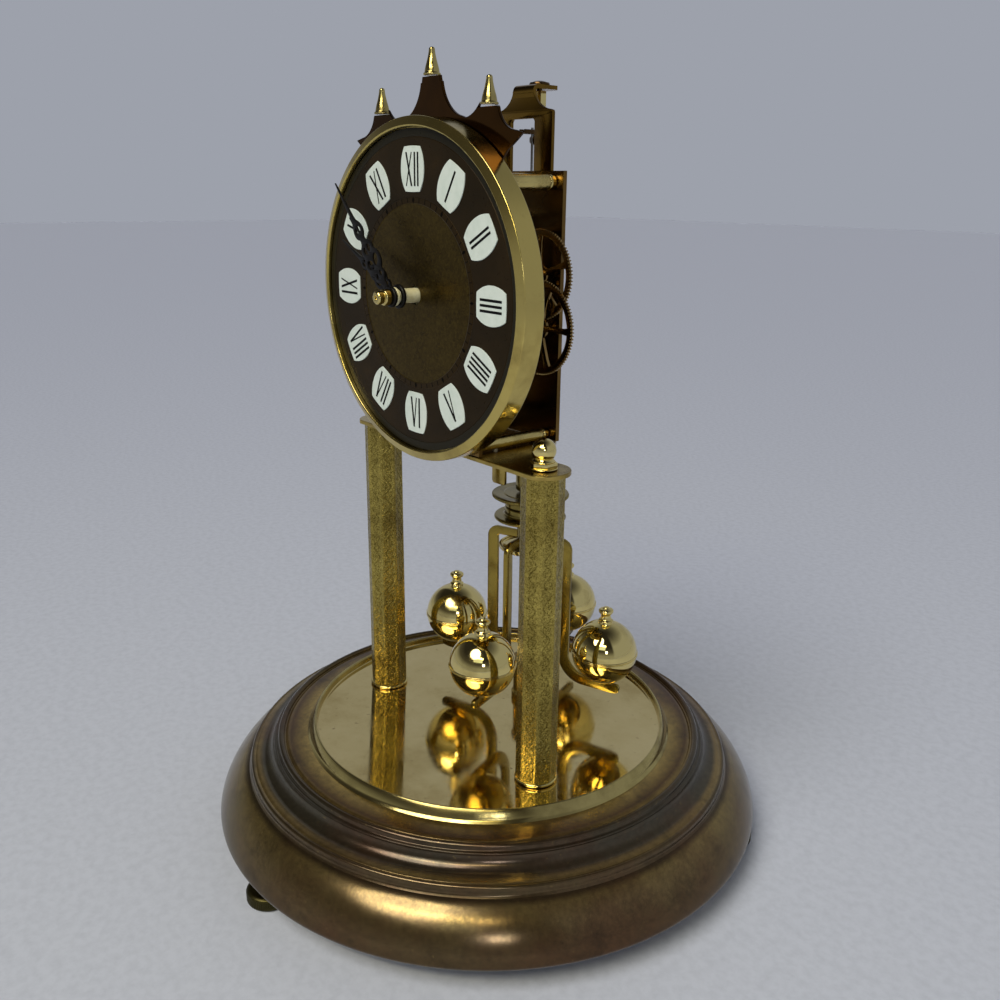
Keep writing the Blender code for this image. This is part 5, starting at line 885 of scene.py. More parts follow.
        rim = self.foot_radius
        profile = eased([
            (0.0, 0.0), (rim - 1.0, 0.0, 0.3), (rim - 0.4, 0.35, 0.2), (rim, low), (rim, high),
            (rim - 0.4, 4.25, 0.2), (rim - 1.0, self.foot_height, 0.3), (2.6, self.foot_height), (1.6, 4.9),
            (1.6, 11.1), (0.0, 11.1),
        ])
        centre = (self.foot_orbit * math.cos(angle), self.foot_orbit * math.sin(angle))
        self.turned(
            f"foot_{number}_look", FOOT_BRASS, profile, 204, centre=centre, ripple=knurl,
            body=f"foot_{number}_body", solid=f"levelling_foot_{number}",
        )


@dataclass
class Pillars(Assembly):
    """Two engraved eight-sided pillars with foot rings, and their ball-headed nuts."""

    x: float = PILLAR_PLACE[0]
    y: float = PILLAR_PLACE[1]
    radius: float = 6.5
    foot: float = 36.2
    top: float = 137.1
    ring_height: float = 1.0
    nut_foot: float = 138.9
    nut_ball: float = 144.2
    cut: float = 0.11
    columns_a_side: int = 26
    rows: int = 470

    def build(self) -> None:
        """Make both pillars and both nuts."""
        for name, side in (("left", -1.0), ("right", 1.0)):
            centre = (side * self.x, self.y)
            piece = self.add(f"pillar_{name}_look", PILLAR_BRASS, self.column(centre), angle=24.0)
            self.keep_cut(piece, centre)
            collar = eased([
                (0.0, self.foot), (6.6, self.foot, 0.2), (6.85, 36.5, 0.2), (6.85, 37.1, 0.25), (6.5, 37.3),
                (0.0, 37.3),
            ])
            self.turned(f"pillar_ring_{name}", POLISHED, collar, 64, centre=centre)
            self.nut(name, centre)

    @property
    def apothem(self) -> float:
        """Distance from the column's axis to the middle of a side."""
        return self.radius * math.cos(TAU / 16.0)

    def from_middle(self, angle: Array) -> Array:
        """Angle from the middle of the side that it falls on."""
        return (angle % (TAU / 8.0)) - TAU / 16.0

    def plain_radius(self, angle: Array) -> Array:
        """Radius of the plain eight-sided column: apothem / cos(angle from the side's middle)."""
        return self.apothem / np.cos(self.from_middle(angle))

    def column(self, centre: Pair) -> Shape:
        """Engraved column.

        The radius at angle a is the plain column's, plus the relief of the side: raised scallops by its
        edges, and between them cut lines that draw a stem, volutes and leaves.
        """
        columns = 8 * self.columns_a_side
        angle = (np.arange(columns) / columns * TAU)[None, :]
        height = np.linspace(self.foot + self.ring_height, self.top, self.rows)[:, None]
        across = self.apothem * np.tan(self.from_middle(angle))
        width = self.apothem * math.tan(TAU / 16.0)
        radius = self.plain_radius(angle) + self.relief(across, height - self.foot, width, angle)
        ends = np.zeros((1, columns))
        radius = np.concatenate([ends, radius, ends])
        height = np.concatenate([height[:1], height, height[-1:]])
        plan = around(centre, radius, angle)
        points = placed(plan[..., 0], plan[..., 1], height, Axis.UP)
        return points.reshape(-1, 3), grid_faces(self.rows + 2, columns, False, True)

    def relief(self, across: Array, up: Array, width: float, angle: Array) -> Array:
        """Height of the engraving on a side, by place across it and up it.

        Cut lines draw a stem that swings from edge to edge, a volute in each bay that it leaves, and
        small leaves round the volute. A raised chain of scallops runs along both edges.
        """
        wave = 7.2
        number = np.floor(angle / (TAU / 8.0))
        phase = up + number * 2.3
        swing = 0.46 * width * np.sin(TAU * phase / wave)
        stem = np.exp(-((across - swing) / 0.2) ** 2)
        half = wave / 2.0
        cell = np.floor(phase / half)
        middle = (cell + 0.5) * half
        hand = np.where(cell % 2 == 0, -1.0, 1.0)
        right, rise = across - hand * 0.26 * width, phase - middle
        reach, turn = np.hypot(right, rise), np.arctan2(rise, right)
        spiral = (0.5 + 0.5 * np.cos(TAU * reach / 0.66 - hand * turn)) ** 2
        volute = spiral * np.clip(1.0 - reach / 1.5, 0.0, 1.0) ** 0.4
        leaves = np.clip(np.sin(turn * 9.0 + reach * 3.0), 0.0, 1.0) * np.exp(-((reach - 1.6) / 0.4) ** 2)
        scallop_line = width * (0.9 - 0.16 * np.abs(np.sin(math.pi * (up + number * 0.9) / 2.4)))
        scallop = np.exp(-((np.abs(across) - scallop_line) / 0.13) ** 2)
        panel = np.clip((0.74 * width - np.abs(across)) / 0.15, 0.0, 1.0)
        ends = np.clip(np.minimum(up - 2.2, self.top - self.foot - 0.8 - up) / 0.25, 0.0, 1.0)
        scroll = np.maximum(np.maximum(stem, volute), 0.9 * leaves)
        return ends * (0.07 * scallop - self.cut * panel * scroll)

    def keep_cut(self, piece: Any, centre: Pair) -> None:
        """Keep on the mesh how deep each point lies below the plain column, 1 at the deepest cut."""
        mesh = piece.data
        places = np.zeros(len(mesh.vertices) * 3)
        mesh.vertices.foreach_get("co", places)
        places = places.reshape(-1, 3) / MM - np.array([centre[0], centre[1], 0.0])
        angle = np.arctan2(places[:, 1], places[:, 0]) % TAU
        below = self.plain_radius(angle) - np.hypot(places[:, 0], places[:, 1])
        cut = mesh.attributes.new(PILLAR_BRASS.attribute, "FLOAT", "POINT")
        cut.data.foreach_set("value", np.clip(below / self.cut, 0.0, 1.0).astype(np.float32))

    def nut(self, name: str, centre: Pair) -> None:
        """Ball-headed nut: thin washer, six-sided collar, flared neck and ball."""
        foot, ball = self.nut_foot, self.nut_ball
        profile = np.concatenate([
            eased([(0.0, foot), (4.0, foot, 0.1), (4.2, foot + 0.2, 0.1), (4.05, foot + 0.4, 0.1),
                   (3.0, foot + 0.45), (3.0, foot + 2.0), (3.3, foot + 2.05, 0.1), (3.4, foot + 2.3, 0.15),
                   (3.0, foot + 2.65, 0.2), (2.75, foot + 3.0, 0.2)]),
            bow((0.0, ball), 3.6, -42.0, 90.0, 24),
        ])
        corner = math.radians(-27.0)
        collar = flat_shape([ring(4.1, centre, 6, corner)], foot + 0.45, foot + 2.05, 0.14, Axis.UP)
        ball_shape = turned_shape(profile, 64, centre, axis=Axis.UP)
        self.add(f"pillar_nut_{name}_look", POLISHED, ball_shape, collar)


@dataclass
class Movement(Assembly):
    """Platform, plates, posts, wheels, barrel and the winding work."""

    front: float = -22.2
    back: float = 11.1
    plate: float = 1.5
    half_width: float = 20.6
    plate_low: float = 138.9
    plate_high: float = 220.9
    post_x: float = 16.0
    low_post_z: float = 140.9
    low_post_radius: float = 1.9
    high_post_radius: float = 2.35
    high_post_z: float = 217.6
    ear: float = 8.1
    first: Pair = (16.6, 174.9)
    second: Pair = (14.2, 190.618)
    centre: Pair = DIAL_CENTRE
    barrel: Pair = (-4.2, 164.0)
    third: Pair = (-5.4604, 193.1983)
    escape: Pair = (0.0, 199.045)
    anchor: Pair = (0.0, 208.045)
    click: Pair = (5.453, 169.144)
    barrel_teeth: int = 72
    first_leaves: int = 12
    first_teeth: int = 90
    first_module: float = 0.318
    second_leaves: int = 10
    second_teeth: int = 84
    ratchet_teeth: int = 24
    spokes: int = 5
    spoke: float = 1.6
    arbor_ends: Pair = (-20.5, 9.4)
    cap: float = 2.2

    def build(self, nodes: dict[str, Any]) -> None:
        """Make the movement's visible pieces and dress the solids that stay."""
        self.platform()
        self.plates()
        self.posts()
        self.wheels()
        self.drum()
        self.winding()
        finishes = {
            "barrel_cap": SATIN, "mainspring": STEEL, "centre_wheel": SATIN, "third_wheel": SATIN,
            "escape_wheel": POLISHED, "anchor": STEEL, "cannon_pinion": STEEL, "minute_wheel": SATIN,
            "click": STEEL, "click_spring": STEEL,
            "platform_screw_left": STEEL, "platform_screw_right": STEEL,
        }
        for name, finish in finishes.items():
            mesh = nodes[name].data
            mesh.materials.clear()
            mesh.materials.append(finish.made())

    def platform(self) -> None:
        """Bridge between the pillars, with round ears and a tapered rear."""
        drop = math.degrees(math.asin((self.front - 0.2 - PILLAR_PLACE[1]) / self.ear))
        ear = bow(PILLAR_PLACE, self.ear, drop, 150.0, 40)
        right = np.concatenate([ear, [(19.8, 10.7), (19.2, 11.3)]])
        self.flat("platform_look", SATIN, [mirrored(right)], 137.3, 138.7, bevel=0.25, axis=Axis.UP)

    def plates(self) -> None:
        """Both plates with eased edges and pivot holes, and their studs, bushes and screws."""
        pivots = (self.first, self.second, self.third, self.escape, self.anchor, self.centre)
        middle = (self.plate_low + self.plate_high) / 2.0
        corners = rectangle((0.0, middle), self.half_width, self.plate_high - middle)
        holes = [ring(0.65, place, 20) for place in pivots[:5]] + [ring(1.95, self.barrel, 32)]
        front_holes = holes + [ring(0.95, self.centre, 20)]
        back_holes = [ring(0.65, place, 20) for place in pivots[:4] + pivots[5:]] + holes[5:]
        back_holes.append(ring(0.95, self.anchor, 20))
        inner_front, inner_back = self.front + self.plate, self.back - self.plate
        self.flat(
            "front_plate_look", PLATE_BRASS, [corners] + front_holes, self.front, inner_front, bevel=0.12,
        )
        self.flat("back_plate_look", PLATE_BRASS, [corners] + back_holes, inner_back, self.back, bevel=0.12)
        front = [(0.0, -28.0), (0.5, -28.0, 0.1), (0.7, -27.8, 0.1), (0.7, self.front), (0.0, self.front)]
        back = [(0.0, self.back), (0.7, self.back), (0.7, 12.5, 0.15), (0.0, 12.5)]
        places = ((front, MINUTE_WHEEL_PLACE), (back, self.click))
        self.add("plate_studs", STEEL, *(turned_shape(eased(stud), 24, place) for stud, place in places))
        bush = eased([(0.65, 11.1), (0.8, 11.2, 0.1), (1.7, 11.2, 0.1), (1.75, 11.05), (0.65, 11.05)])
        bushes = [turned_shape(bush, 28, place, closed=True) for place in pivots[:4] + pivots[5:]]
        self.add("pivot_bushes", POLISHED, *bushes)
        self.plate_screws()

    def plate_screws(self) -> None:
        """Slotted screws on the back plate, over the ends of the posts."""
        sides, levels = (-self.post_x, self.post_x), (self.low_post_z, self.high_post_z)
        head = eased([(0.0, 12.35), (1.7, 12.2, 0.4), (1.85, 11.9, 0.2), (1.85, 11.12), (0.0, 11.12)])
        heads = [turned_shape(head, 32, (x, z)) for x in sides for z in levels]
        self.add("plate_screws", STEEL, *heads)
        slot = rectangle((0.0, 0.0), 1.7, 0.22)
        posts = [(x, z) for z in levels for x in sides]
        slots = np.stack([clockwise(slot, turn, post) for post, turn in zip(posts, (-0.3, -1.2, -2.1, -0.8))])
        self.add("screw_slots", BLACK, bar_shape(slots, 12.1, 12.4), angle=TURNED_CREASE)

    def posts(self) -> None:
        """Round posts, stippled along the middle, with a polished shoulder at each end."""
        ends = (self.front + self.plate + 0.2, self.back - self.plate - 0.2)
        levels = (
            ("lower", self.low_post_z, self.low_post_radius),
            ("upper", self.high_post_z, self.high_post_radius),
        )
        for level, z, r in levels:
            body = eased([
                (0.0, ends[0] + self.cap), (r - 0.15, ends[0] + self.cap), (r, ends[0] + 2.5, 0.2),
                (r, ends[1] - 2.5, 0.2), (r - 0.15, ends[1] - self.cap), (0.0, ends[1] - self.cap),
            ])
            collars = [
                eased([(0.0, low), (r - 0.25, low, 0.2), (r - 0.05, low + 0.4, 0.2),
                       (r - 0.05, high - 0.2, 0.2), (r - 0.35, high), (0.0, high)])
                for low, high in ((ends[0], ends[0] + self.cap), (ends[1] - self.cap, ends[1]))
            ]
            for name, x in (("left", -self.post_x), ("right", self.post_x)):
                self.turned(f"post_{level}_{name}_look", STIPPLE, body, 40, Axis.BACK, (x, z))
                caps = [turned_shape(collar, 40, (x, z)) for collar in collars]
                self.add(f"post_{level}_{name}_ends", POLISHED, *caps)

    @property
    def barrel_module(self) -> float:
        """Module at which the barrel's teeth meet the first wheel's leaves."""
        return 2.0 * math.dist(self.barrel, self.first) / (self.barrel_teeth + self.first_leaves)

    def wheel(
        self, name: str, centre: Pair, depth: float, teeth: int, module: float,
        pinion: tuple[int, float, float, float], start: float,
    ) -> None:
        """A toothed wheel with curved windows, on its arbor with a pinion.

        Args:
            name: the solid's name.
            centre: its axis in x and z.
            depth: middle of its rim along y.
            teeth: number of teeth.
            module: its module.
            pinion: leaves, module, phase and middle depth of its pinion.
            start: angle of the first spoke.
        """
        pitch = module * teeth / 2.0
        rim, hub = pitch * 0.865, pitch * 0.25
        windows = []
        radius = np.concatenate([np.full(12, rim), np.full(5, hub)])
        at_rim, at_hub = (math.asin(self.spoke / 2 / reach) for reach in (rim, hub))
        for index in range(self.spokes):
            low, high = (start + TAU * side / self.spokes for side in (index, index + 1))
            outer = np.linspace(low + at_rim, high - at_rim, 12)
            inner = np.linspace(high - at_hub, low + at_hub, 5)
            windows.append(softened(around(centre, radius, np.concatenate([outer, inner])), 1))
        leaves, leaf_module, phase, leaf_depth = pinion
        front, back = self.arbor_ends
        arbor = eased([
            (0.0, front - 1.7), (0.45, front - 1.7), (0.45, front), (0.8, front), (0.8, depth - 1.6),
            (2.1, depth - 1.6, 0.2), (2.1, depth - 0.4), (2.1, depth + 0.4), (1.9, depth + 0.9, 0.2),
            (0.8, depth + 0.9), (0.8, back), (0.45, back), (0.45, back + 1.7), (0.0, back + 1.7),
        ])
        rim_outline = gear_outline(teeth, module, 0.0, centre, 0.42)
        leaf_outline = gear_outline(leaves, leaf_module, phase, centre)
        shapes = [
            flat_shape([rim_outline] + windows, depth - 0.5, depth + 0.5, 0.06),
            flat_shape([leaf_outline], leaf_depth - 1.1, leaf_depth + 1.1, 0.05),
            turned_shape(arbor, 28, centre),
        ]
        self.add(f"{name}_look", WHEEL_BRASS, *shapes, body=f"{name}_body")

    def wheels(self) -> None:
        """The two large wheels whose rims show beside the plates."""
        phase = mesh_phase(self.barrel, 0.0, self.barrel_teeth, self.first, self.first_leaves)
        pinion = (self.first_leaves, self.barrel_module, phase, -3.3)
        self.wheel("first_wheel", self.first, 5.2, self.first_teeth, self.first_module, pinion, 0.0)
        module = 2.0 * math.dist(self.second, self.centre) / (self.second_teeth + self.second_leaves)
        phase = mesh_phase(self.first, 0.0, self.first_teeth, self.second, self.second_leaves)
        pinion = (self.second_leaves, self.first_module, phase, 5.2)
        self.wheel("second_wheel", self.second, 7.1, self.second_teeth, module, pinion, TAU / 4.0)

    def drum(self) -> None:
        """Mainspring barrel with turned ring lines, and its toothed ring."""
        module = self.barrel_module
        rim = module * self.barrel_teeth / 2.0 * 0.93
        profile = eased([
            (1.97, -19.6), (rim - 3.0, -19.6, 0.2), (rim - 2.8, -19.3, 0.2), (rim - 2.4, -19.6, 0.2),
            (rim - 0.3, -19.6, 0.3), (rim, -19.2, 0.3), (rim, -18.0, 0.1), (rim - 0.25, -17.8, 0.1),
            (rim - 0.25, -17.5, 0.1), (rim, -17.3, 0.1), (rim, -4.6, 0.1), (rim - 0.2, -4.4, 0.1),
            (rim, -4.2, 0.1), (rim, -2.8), (rim - 0.7, -2.8), (rim - 0.7, -18.6), (1.97, -18.6),
        ])
        outline = gear_outline(self.barrel_teeth, module, 0.0, self.barrel, 0.42)
        teeth = flat_shape([outline, ring(rim - 0.35, self.barrel, 72)], -3.8, -2.8, 0.06)
        drum = turned_shape(profile, 128, self.barrel, closed=True)
        self.add("barrel_look", BARREL_BRASS, drum, teeth, body="barrel_body")

    def winding(self) -> None:
        """Winding arbor with its key square, and the ratchet wheel with raked teeth."""
        shaft = eased([
            (0.0, -22.2), (1.6, -22.2, 0.1), (1.8, -22.0, 0.1), (1.8, -17.8), (2.8, -17.8), (2.8, -4.6),
            (1.8, -4.6), (1.8, 11.2), (0.0, 11.2),
        ])
        square = rectangle(self.barrel, 1.5, 1.5)
        shapes = [turned_shape(shaft, 40, self.barrel), flat_shape([square], 11.15, 15.8, 0.2)]
        self.add("winding_arbor_look", STEEL, *shapes, body="winding_body")
        step = TAU / self.ratchet_teeth
        tooth = np.arange(self.ratchet_teeth)[:, None] * step
        angle = tooth + np.array([0.0, 0.03, 0.12, 0.55])[None, :] * step
        radius = np.broadcast_to(np.array([6.6, 6.5, 5.82, 6.1])[None, :], angle.shape)
        outline = around(self.barrel, radius, angle).reshape(-1, 2)
        grip = (square - self.barrel) * 1.12 + self.barrel
        self.flat("ratchet_wheel_look", STEEL, [outline, grip], 11.3, 12.5, bevel=0.08, body="winding_body")


@dataclass
class Dial(Assembly):
    """Dial, cartouches, numerals, bezel, crown and finials."""

    centre: Pair = DIAL_CENTRE
    face: float = -30.05
    radius: float = 46.3
    bezel_radius: float = 49.5
    bezel_back: float = -23.7
    cartouche: Pair = (29.1, 41.3)
    crown_front: float = -23.4
    crown_back: float = -22.4

    def build(self) -> None:
        """Make every piece of the dial."""
        self.plate()
        self.track()
        self.cartouches()
        self.numerals()
        self.bezel()
        self.crown()
        self.finials()

    def plate(self) -> None:
        """Dial plate on two feet: its middle lies deeper, and a fine groove parts border and ring."""
        y = self.face
        profile = eased([
            (2.8, y + 0.1), (25.8, y + 0.1, 0.1), (26.0, y, 0.1), (27.6, y, 0.05), (27.7, y + 0.07, 0.03),
            (27.8, y, 0.05), (43.8, y, 0.05), (43.95, y + 0.12, 0.05), (44.1, y, 0.05), (self.radius, y),
            (self.radius, y + 0.8), (2.8, y + 0.8),
        ])
        shapes = [turned_shape(profile, 192, self.centre, closed=True)]
        for x in (-15.0, 15.0):
            foot = eased([(0.0, y + 0.6), (1.0, y + 0.6), (1.0, -20.5, 0.15), (0.0, -20.5)])
            shapes.append(turned_shape(foot, 28, (x, 196.0)))
        self.add("dial_look", DIAL_PAINT, *shapes)

    def track(self) -> None:
        """Sixty minute marks on the track, and a lozenge at each fifth."""
        angle = np.arange(60) / 60.0 * TAU
        fifth = angle[::5]
        strokes = ((26.15, -0.0045), (27.5, -0.0045), (27.5, 0.0045), (26.15, 0.0045))
        quads = np.stack([self.polar(radius, angle + aside) for radius, aside in strokes], axis=1)
        points = ((25.9, 0.0), (26.8, -0.02), (27.75, 0.0), (26.8, 0.02))
        lozenges = np.stack([self.polar(radius, fifth + aside) for radius, aside in points], axis=1)
        marks = bar_shape(np.concatenate([quads, lozenges]), self.face - 0.04, self.face + 0.05)
        self.add("minute_track", TRACK_INK, marks, angle=TURNED_CREASE)

    def polar(self, radius: float, angle: Array) -> Array:
        """Point of the dial at a radius and a clockwise angle from twelve."""
        x, z = self.centre[0] + radius * np.sin(angle), self.centre[1] + radius * np.cos(angle)
        return np.stack([x, z], axis=-1)

    def on_dial(self, points: Array, hour: float) -> Array:
        """Turn points, drawn as (across, out) at twelve, to an hour's place."""
        return clockwise(points, hour / 12.0 * TAU, self.centre)

    def cartouches(self) -> None:
        """White plaques: half width w(t) = mid - (mid - end) |t|^2.2 from the middle outwards."""
        inner, outer = self.cartouche
        middle, half = (inner + outer) / 2.0, (outer - inner) / 2.0
        mid, outer_end, inner_end = 5.5, 3.75, 3.35
        t = np.linspace(-1.0, 1.0, 33)
        end = np.where(t > 0.0, outer_end, inner_end)
        width = mid - (mid - end) * np.abs(t) ** 2.2
        top = np.linspace(0.85, -0.85, 9)
        right = np.stack([width, middle + half * t], axis=1)
        crest = np.stack([outer_end * top, outer + 0.22 * (1.0 - top ** 2)], axis=1)
        left = np.stack([-width[::-1], middle + half * t[::-1]], axis=1)
        dip = np.stack([-inner_end * top, inner - 0.1 * (1.0 - top ** 2)], axis=1)
        plaque = np.concatenate([right, crest, left, dip])
        outlines = [self.on_dial(plaque, hour) for hour in range(1, 13)]
        self.flat("cartouches", ENAMEL, outlines, self.face - 0.28, self.face + 0.1, bevel=0.1)

    def numerals(self) -> None:
        """Roman numerals in thin strokes; the tops of IIII to VIII point at the centre."""
        words = ("I", "II", "III", "IIII", "V", "VI", "VII", "VIII", "IX", "X", "XI", "XII")
        strokes = []
        middle = sum(self.cartouche) / 2.0
        for hour, word in enumerate(words, 1):
            drawn = np.concatenate([self.letter(kind, at) for kind, at in self.spaced(word)])
            if 4 <= hour <= 8:
                drawn = -drawn
            drawn = drawn + np.array([0.0, middle])
            strokes.append(self.on_dial(drawn, hour))
        quads = np.concatenate(strokes)
        shape = bar_shape(quads, self.face - 0.33, self.face - 0.24)
        self.add("numerals", INK, shape, angle=TURNED_CREASE)

    def spaced(self, word: str) -> list[tuple[str, float]]:
        """Letters of a numeral with their places across, centred."""
        widths = {"I": 0.72, "V": 3.1, "X": 3.3}
        gap = 0.78
        total = sum(widths[letter] for letter in word) + gap * (len(word) - 1)
        places, at = [], -total / 2.0
        for letter in word:
            places.append((letter, at + widths[letter] / 2.0))
            at += widths[letter] + gap
        return places

    def letter(self, kind: str, at: float) -> Array:
        """Strokes of a letter, as quads of (across, out) round its middle."""
        high, thick, thin = 4.6, 0.36, 0.22

        def stroke(low_x: float, high_x: float, half: float) -> list[Pair]:
            """Corners of a slanted bar of some half width."""
            low, top = at + low_x, at + high_x
            return [(low - half, -high), (low + half, -high), (top + half, high), (top - half, high)]

        shapes = {
            "I": [stroke(0.0, 0.0, thick)],
            "V": [stroke(0.0, -1.25, thick), stroke(0.0, 1.3, thin)],
            "X": [stroke(1.25, -1.25, thick), stroke(-1.3, 1.3, thin)],
        }
        return np.array(shapes[kind])

    def bezel(self) -> None:
        """Bezel: thin inner lip, bevelled front face, round corner and a plain drum behind."""
        y, outer = self.face, self.bezel_radius
        inner = self.radius + 0.2
        profile = eased([
            (inner, y - 0.9), (inner + 0.15, y - 1.35, 0.1), (inner + 0.5, y - 1.6, 0.1),
            (outer - 0.12, y - 0.62, 0.1), (outer, y - 0.4, 0.1), (outer, self.bezel_back - 0.3, 0.2),
            (outer - 0.3, self.bezel_back, 0.2), (outer - 0.9, self.bezel_back), (outer - 0.9, y + 1.9),
            (inner - 1.6, y + 1.9), (inner - 1.6, y + 1.0), (inner, y + 1.0),
        ])
        self.turned("bezel_look", BEZEL_BRASS, profile, 256, Axis.BACK, self.centre, closed=True)

    def crown(self) -> None:
        """Three-spired crown: concave sweeps between the spires and a pointed tail at each side."""
        right = np.concatenate([
            [(4.05, 245.55), (4.4, 244.0)],
            bow((15.6, 246.0), (10.9, 11.6), 190.0, 262.0, 14),
            bow((14.6, 245.0), (9.4, 11.0), 275.0, 318.0, 7),
            [(20.9, 236.4), (28.9, 236.4)],
            bow((37.0, 237.7), (8.0, 7.6), 192.0, 252.0, 8),
            [(36.4, 230.1), (39.1, 229.5), (36.6, 227.7), (33.2, 225.4), (30.2, 222.1)],
            bow((0.0, 185.4), 48.6, 51.0, 73.0, 12),
            [(15.2, 227.3), (15.2, 211.9), (11.8, 211.0)],
        ])
        self.flat("crown_look", CROWN_BRASS, [mirrored(right)], self.crown_front, self.crown_back, bevel=0.18)

    def finials(self) -> None:
        """Turned finials: a plain foot, then a long bell-shaped sweep to a round tip."""
        middle = (self.crown_front + self.crown_back) / 2.0
        for name, x, base in (("left", -25.1, 236.6), ("centre", 0.0, 245.7), ("right", 25.1, 236.8)):
            profile = np.concatenate([
                eased([(0.0, base), (2.4, base, 0.1), (2.5, base + 0.15, 0.1), (2.5, base + 0.5, 0.1),
                       (2.15, base + 0.8, 0.15), (1.95, base + 2.0, 1.0), (1.35, base + 4.0, 1.2),
                       (0.95, base + 5.8, 0.8), (0.86, base + 6.7)]),
                bow((0.0, base + 6.7), (0.86, 0.7), 0.0, 90.0, 9),
            ])
            self.turned(f"crown_finial_{name}_look", BEAD_BRASS, profile, 48, centre=(x, middle))


@dataclass
class Hands(Assembly):
    """Pierced black hands, their collars, the pipes and the nut in front."""

    centre: Pair = DIAL_CENTRE
    minute: float = 53.0
    hour: float = 9.883
    minute_depth: float = -38.5
    hour_depth: float = -35.8
    minute_length: float = 42.0
    hour_length: float = 33.0
    leaves: int = 8
    teeth: int = 32
    module: float = 0.33

    def build(self) -> None:
        """Make the hands at the shown time, and what holds them."""
        turn_minute, turn_hour = TAU * self.minute / 60.0, TAU * self.hour / 12.0
        self.hand("minute", self.minute_length, 3.0, 1.25, self.minute_depth, turn_minute)
        self.hand("hour", self.hour_length, 3.5, 2.3, self.hour_depth, turn_hour)
        self.fittings()

    def hand(self, name: str, length: float, collar: float, bore: float, depth: float, turn: float) -> None:
        """A serpentine hand: stem, a pierced scroll body with curls, and a long leaf point."""
        def at(points: Sequence[Pair]) -> Array:
            """Scale points to the hand's length and turn them to its time."""
            return clockwise(np.array(points, float) * length, turn, self.centre)

        right = [
            (0.028, 0.06), (0.024, 0.13), (0.05, 0.15), (0.066, 0.18), (0.05, 0.215), (0.08, 0.235),
            (0.098, 0.285), (0.092, 0.34), (0.066, 0.375), (0.075, 0.41), (0.06, 0.455), (0.034, 0.47),
            (0.022, 0.5), (0.05, 0.53), (0.058, 0.575), (0.04, 0.625), (0.018, 0.66), (0.013, 0.78),
            (0.004, 0.998),
        ]
        outline = softened(at([(x, z) for x, z in reversed(right)] + [(-x, z) for x, z in right]), 1)
        half_holes = [
            [(0.0, 0.255), (0.05, 0.27), (0.066, 0.31), (0.048, 0.345), (0.012, 0.33), (0.0, 0.3)],
            [(0.0, 0.37), (0.03, 0.385), (0.042, 0.42), (0.016, 0.445), (0.004, 0.43)],
            [(0.0, 0.545), (0.022, 0.555), (0.026, 0.585), (0.0, 0.615)],
            [(0.006, 0.165), (0.036, 0.18), (0.03, 0.205), (0.006, 0.215)],
        ]
        cuts = []
        for hole in half_holes:
            cuts += [softened(at([(side * (x + 0.006), z) for x, z in hole]), 2) for side in (-1.0, 1.0)]
        flat_part = flat_shape([outline] + cuts, depth - 0.25, depth + 0.25, 0.06)
        hub = eased([
            (bore, depth - 0.6), (collar - 0.3, depth - 0.6, 0.1), (collar, depth - 0.35, 0.2),
            (collar, depth + 0.35, 0.2), (collar - 0.3, depth + 0.6, 0.1), (bore, depth + 0.6),
        ])
        collar_part = turned_shape(hub, 64, self.centre, closed=True)
        self.add(f"{name}_hand_look", BLACK, flat_part, collar_part, body=f"{name}_body")

    def fittings(self) -> None:
        """Hour pipe with its wheel, pale washer, front nut with its turned rings."""
        pipe = eased([(1.27, -36.3), (2.0, -36.3, 0.1), (2.15, -36.1, 0.1), (2.15, -25.7), (1.27, -25.7)])
        phase = mesh_phase(MINUTE_WHEEL_PLACE, 0.0, self.leaves, self.centre, self.teeth)
        outlines = [gear_outline(self.teeth, self.module, phase, self.centre), ring(1.7, self.centre, 40)]
        wheel = flat_shape(outlines, -26.7, -25.72, 0.05)
        self.add(
            "hour_pipe_look", IVORY, turned_shape(pipe, 64, self.centre, closed=True), wheel,
            body="hour_body", solid="hour_wheel",
        )
        washer = eased([
            (1.3, -37.8), (2.5, -37.8, 0.1), (2.7, -37.6, 0.1), (2.7, -37.0, 0.15), (2.4, -36.8),
            (1.3, -36.8),
        ])
        self.turned("hand_washer", IVORY, washer, 56, Axis.BACK, self.centre, True, body="minute_body")
        nut = eased([
            (0.0, -43.35), (0.55, -43.35, 0.1), (0.6, -43.75, 0.1), (0.85, -43.8, 0.1), (1.5, -43.8, 0.2),
            (1.93, -43.4, 0.2), (1.93, -41.9, 0.2), (1.75, -41.6, 0.1), (2.35, -41.3, 0.3),
            (2.35, -39.6, 0.3), (2.1, -39.3), (0.75, -39.3), (0.75, -42.0), (0.0, -42.0),
        ])
        self.turned("hand_nut_look", POLISHED, nut, 64, Axis.BACK, self.centre, body="minute_body")


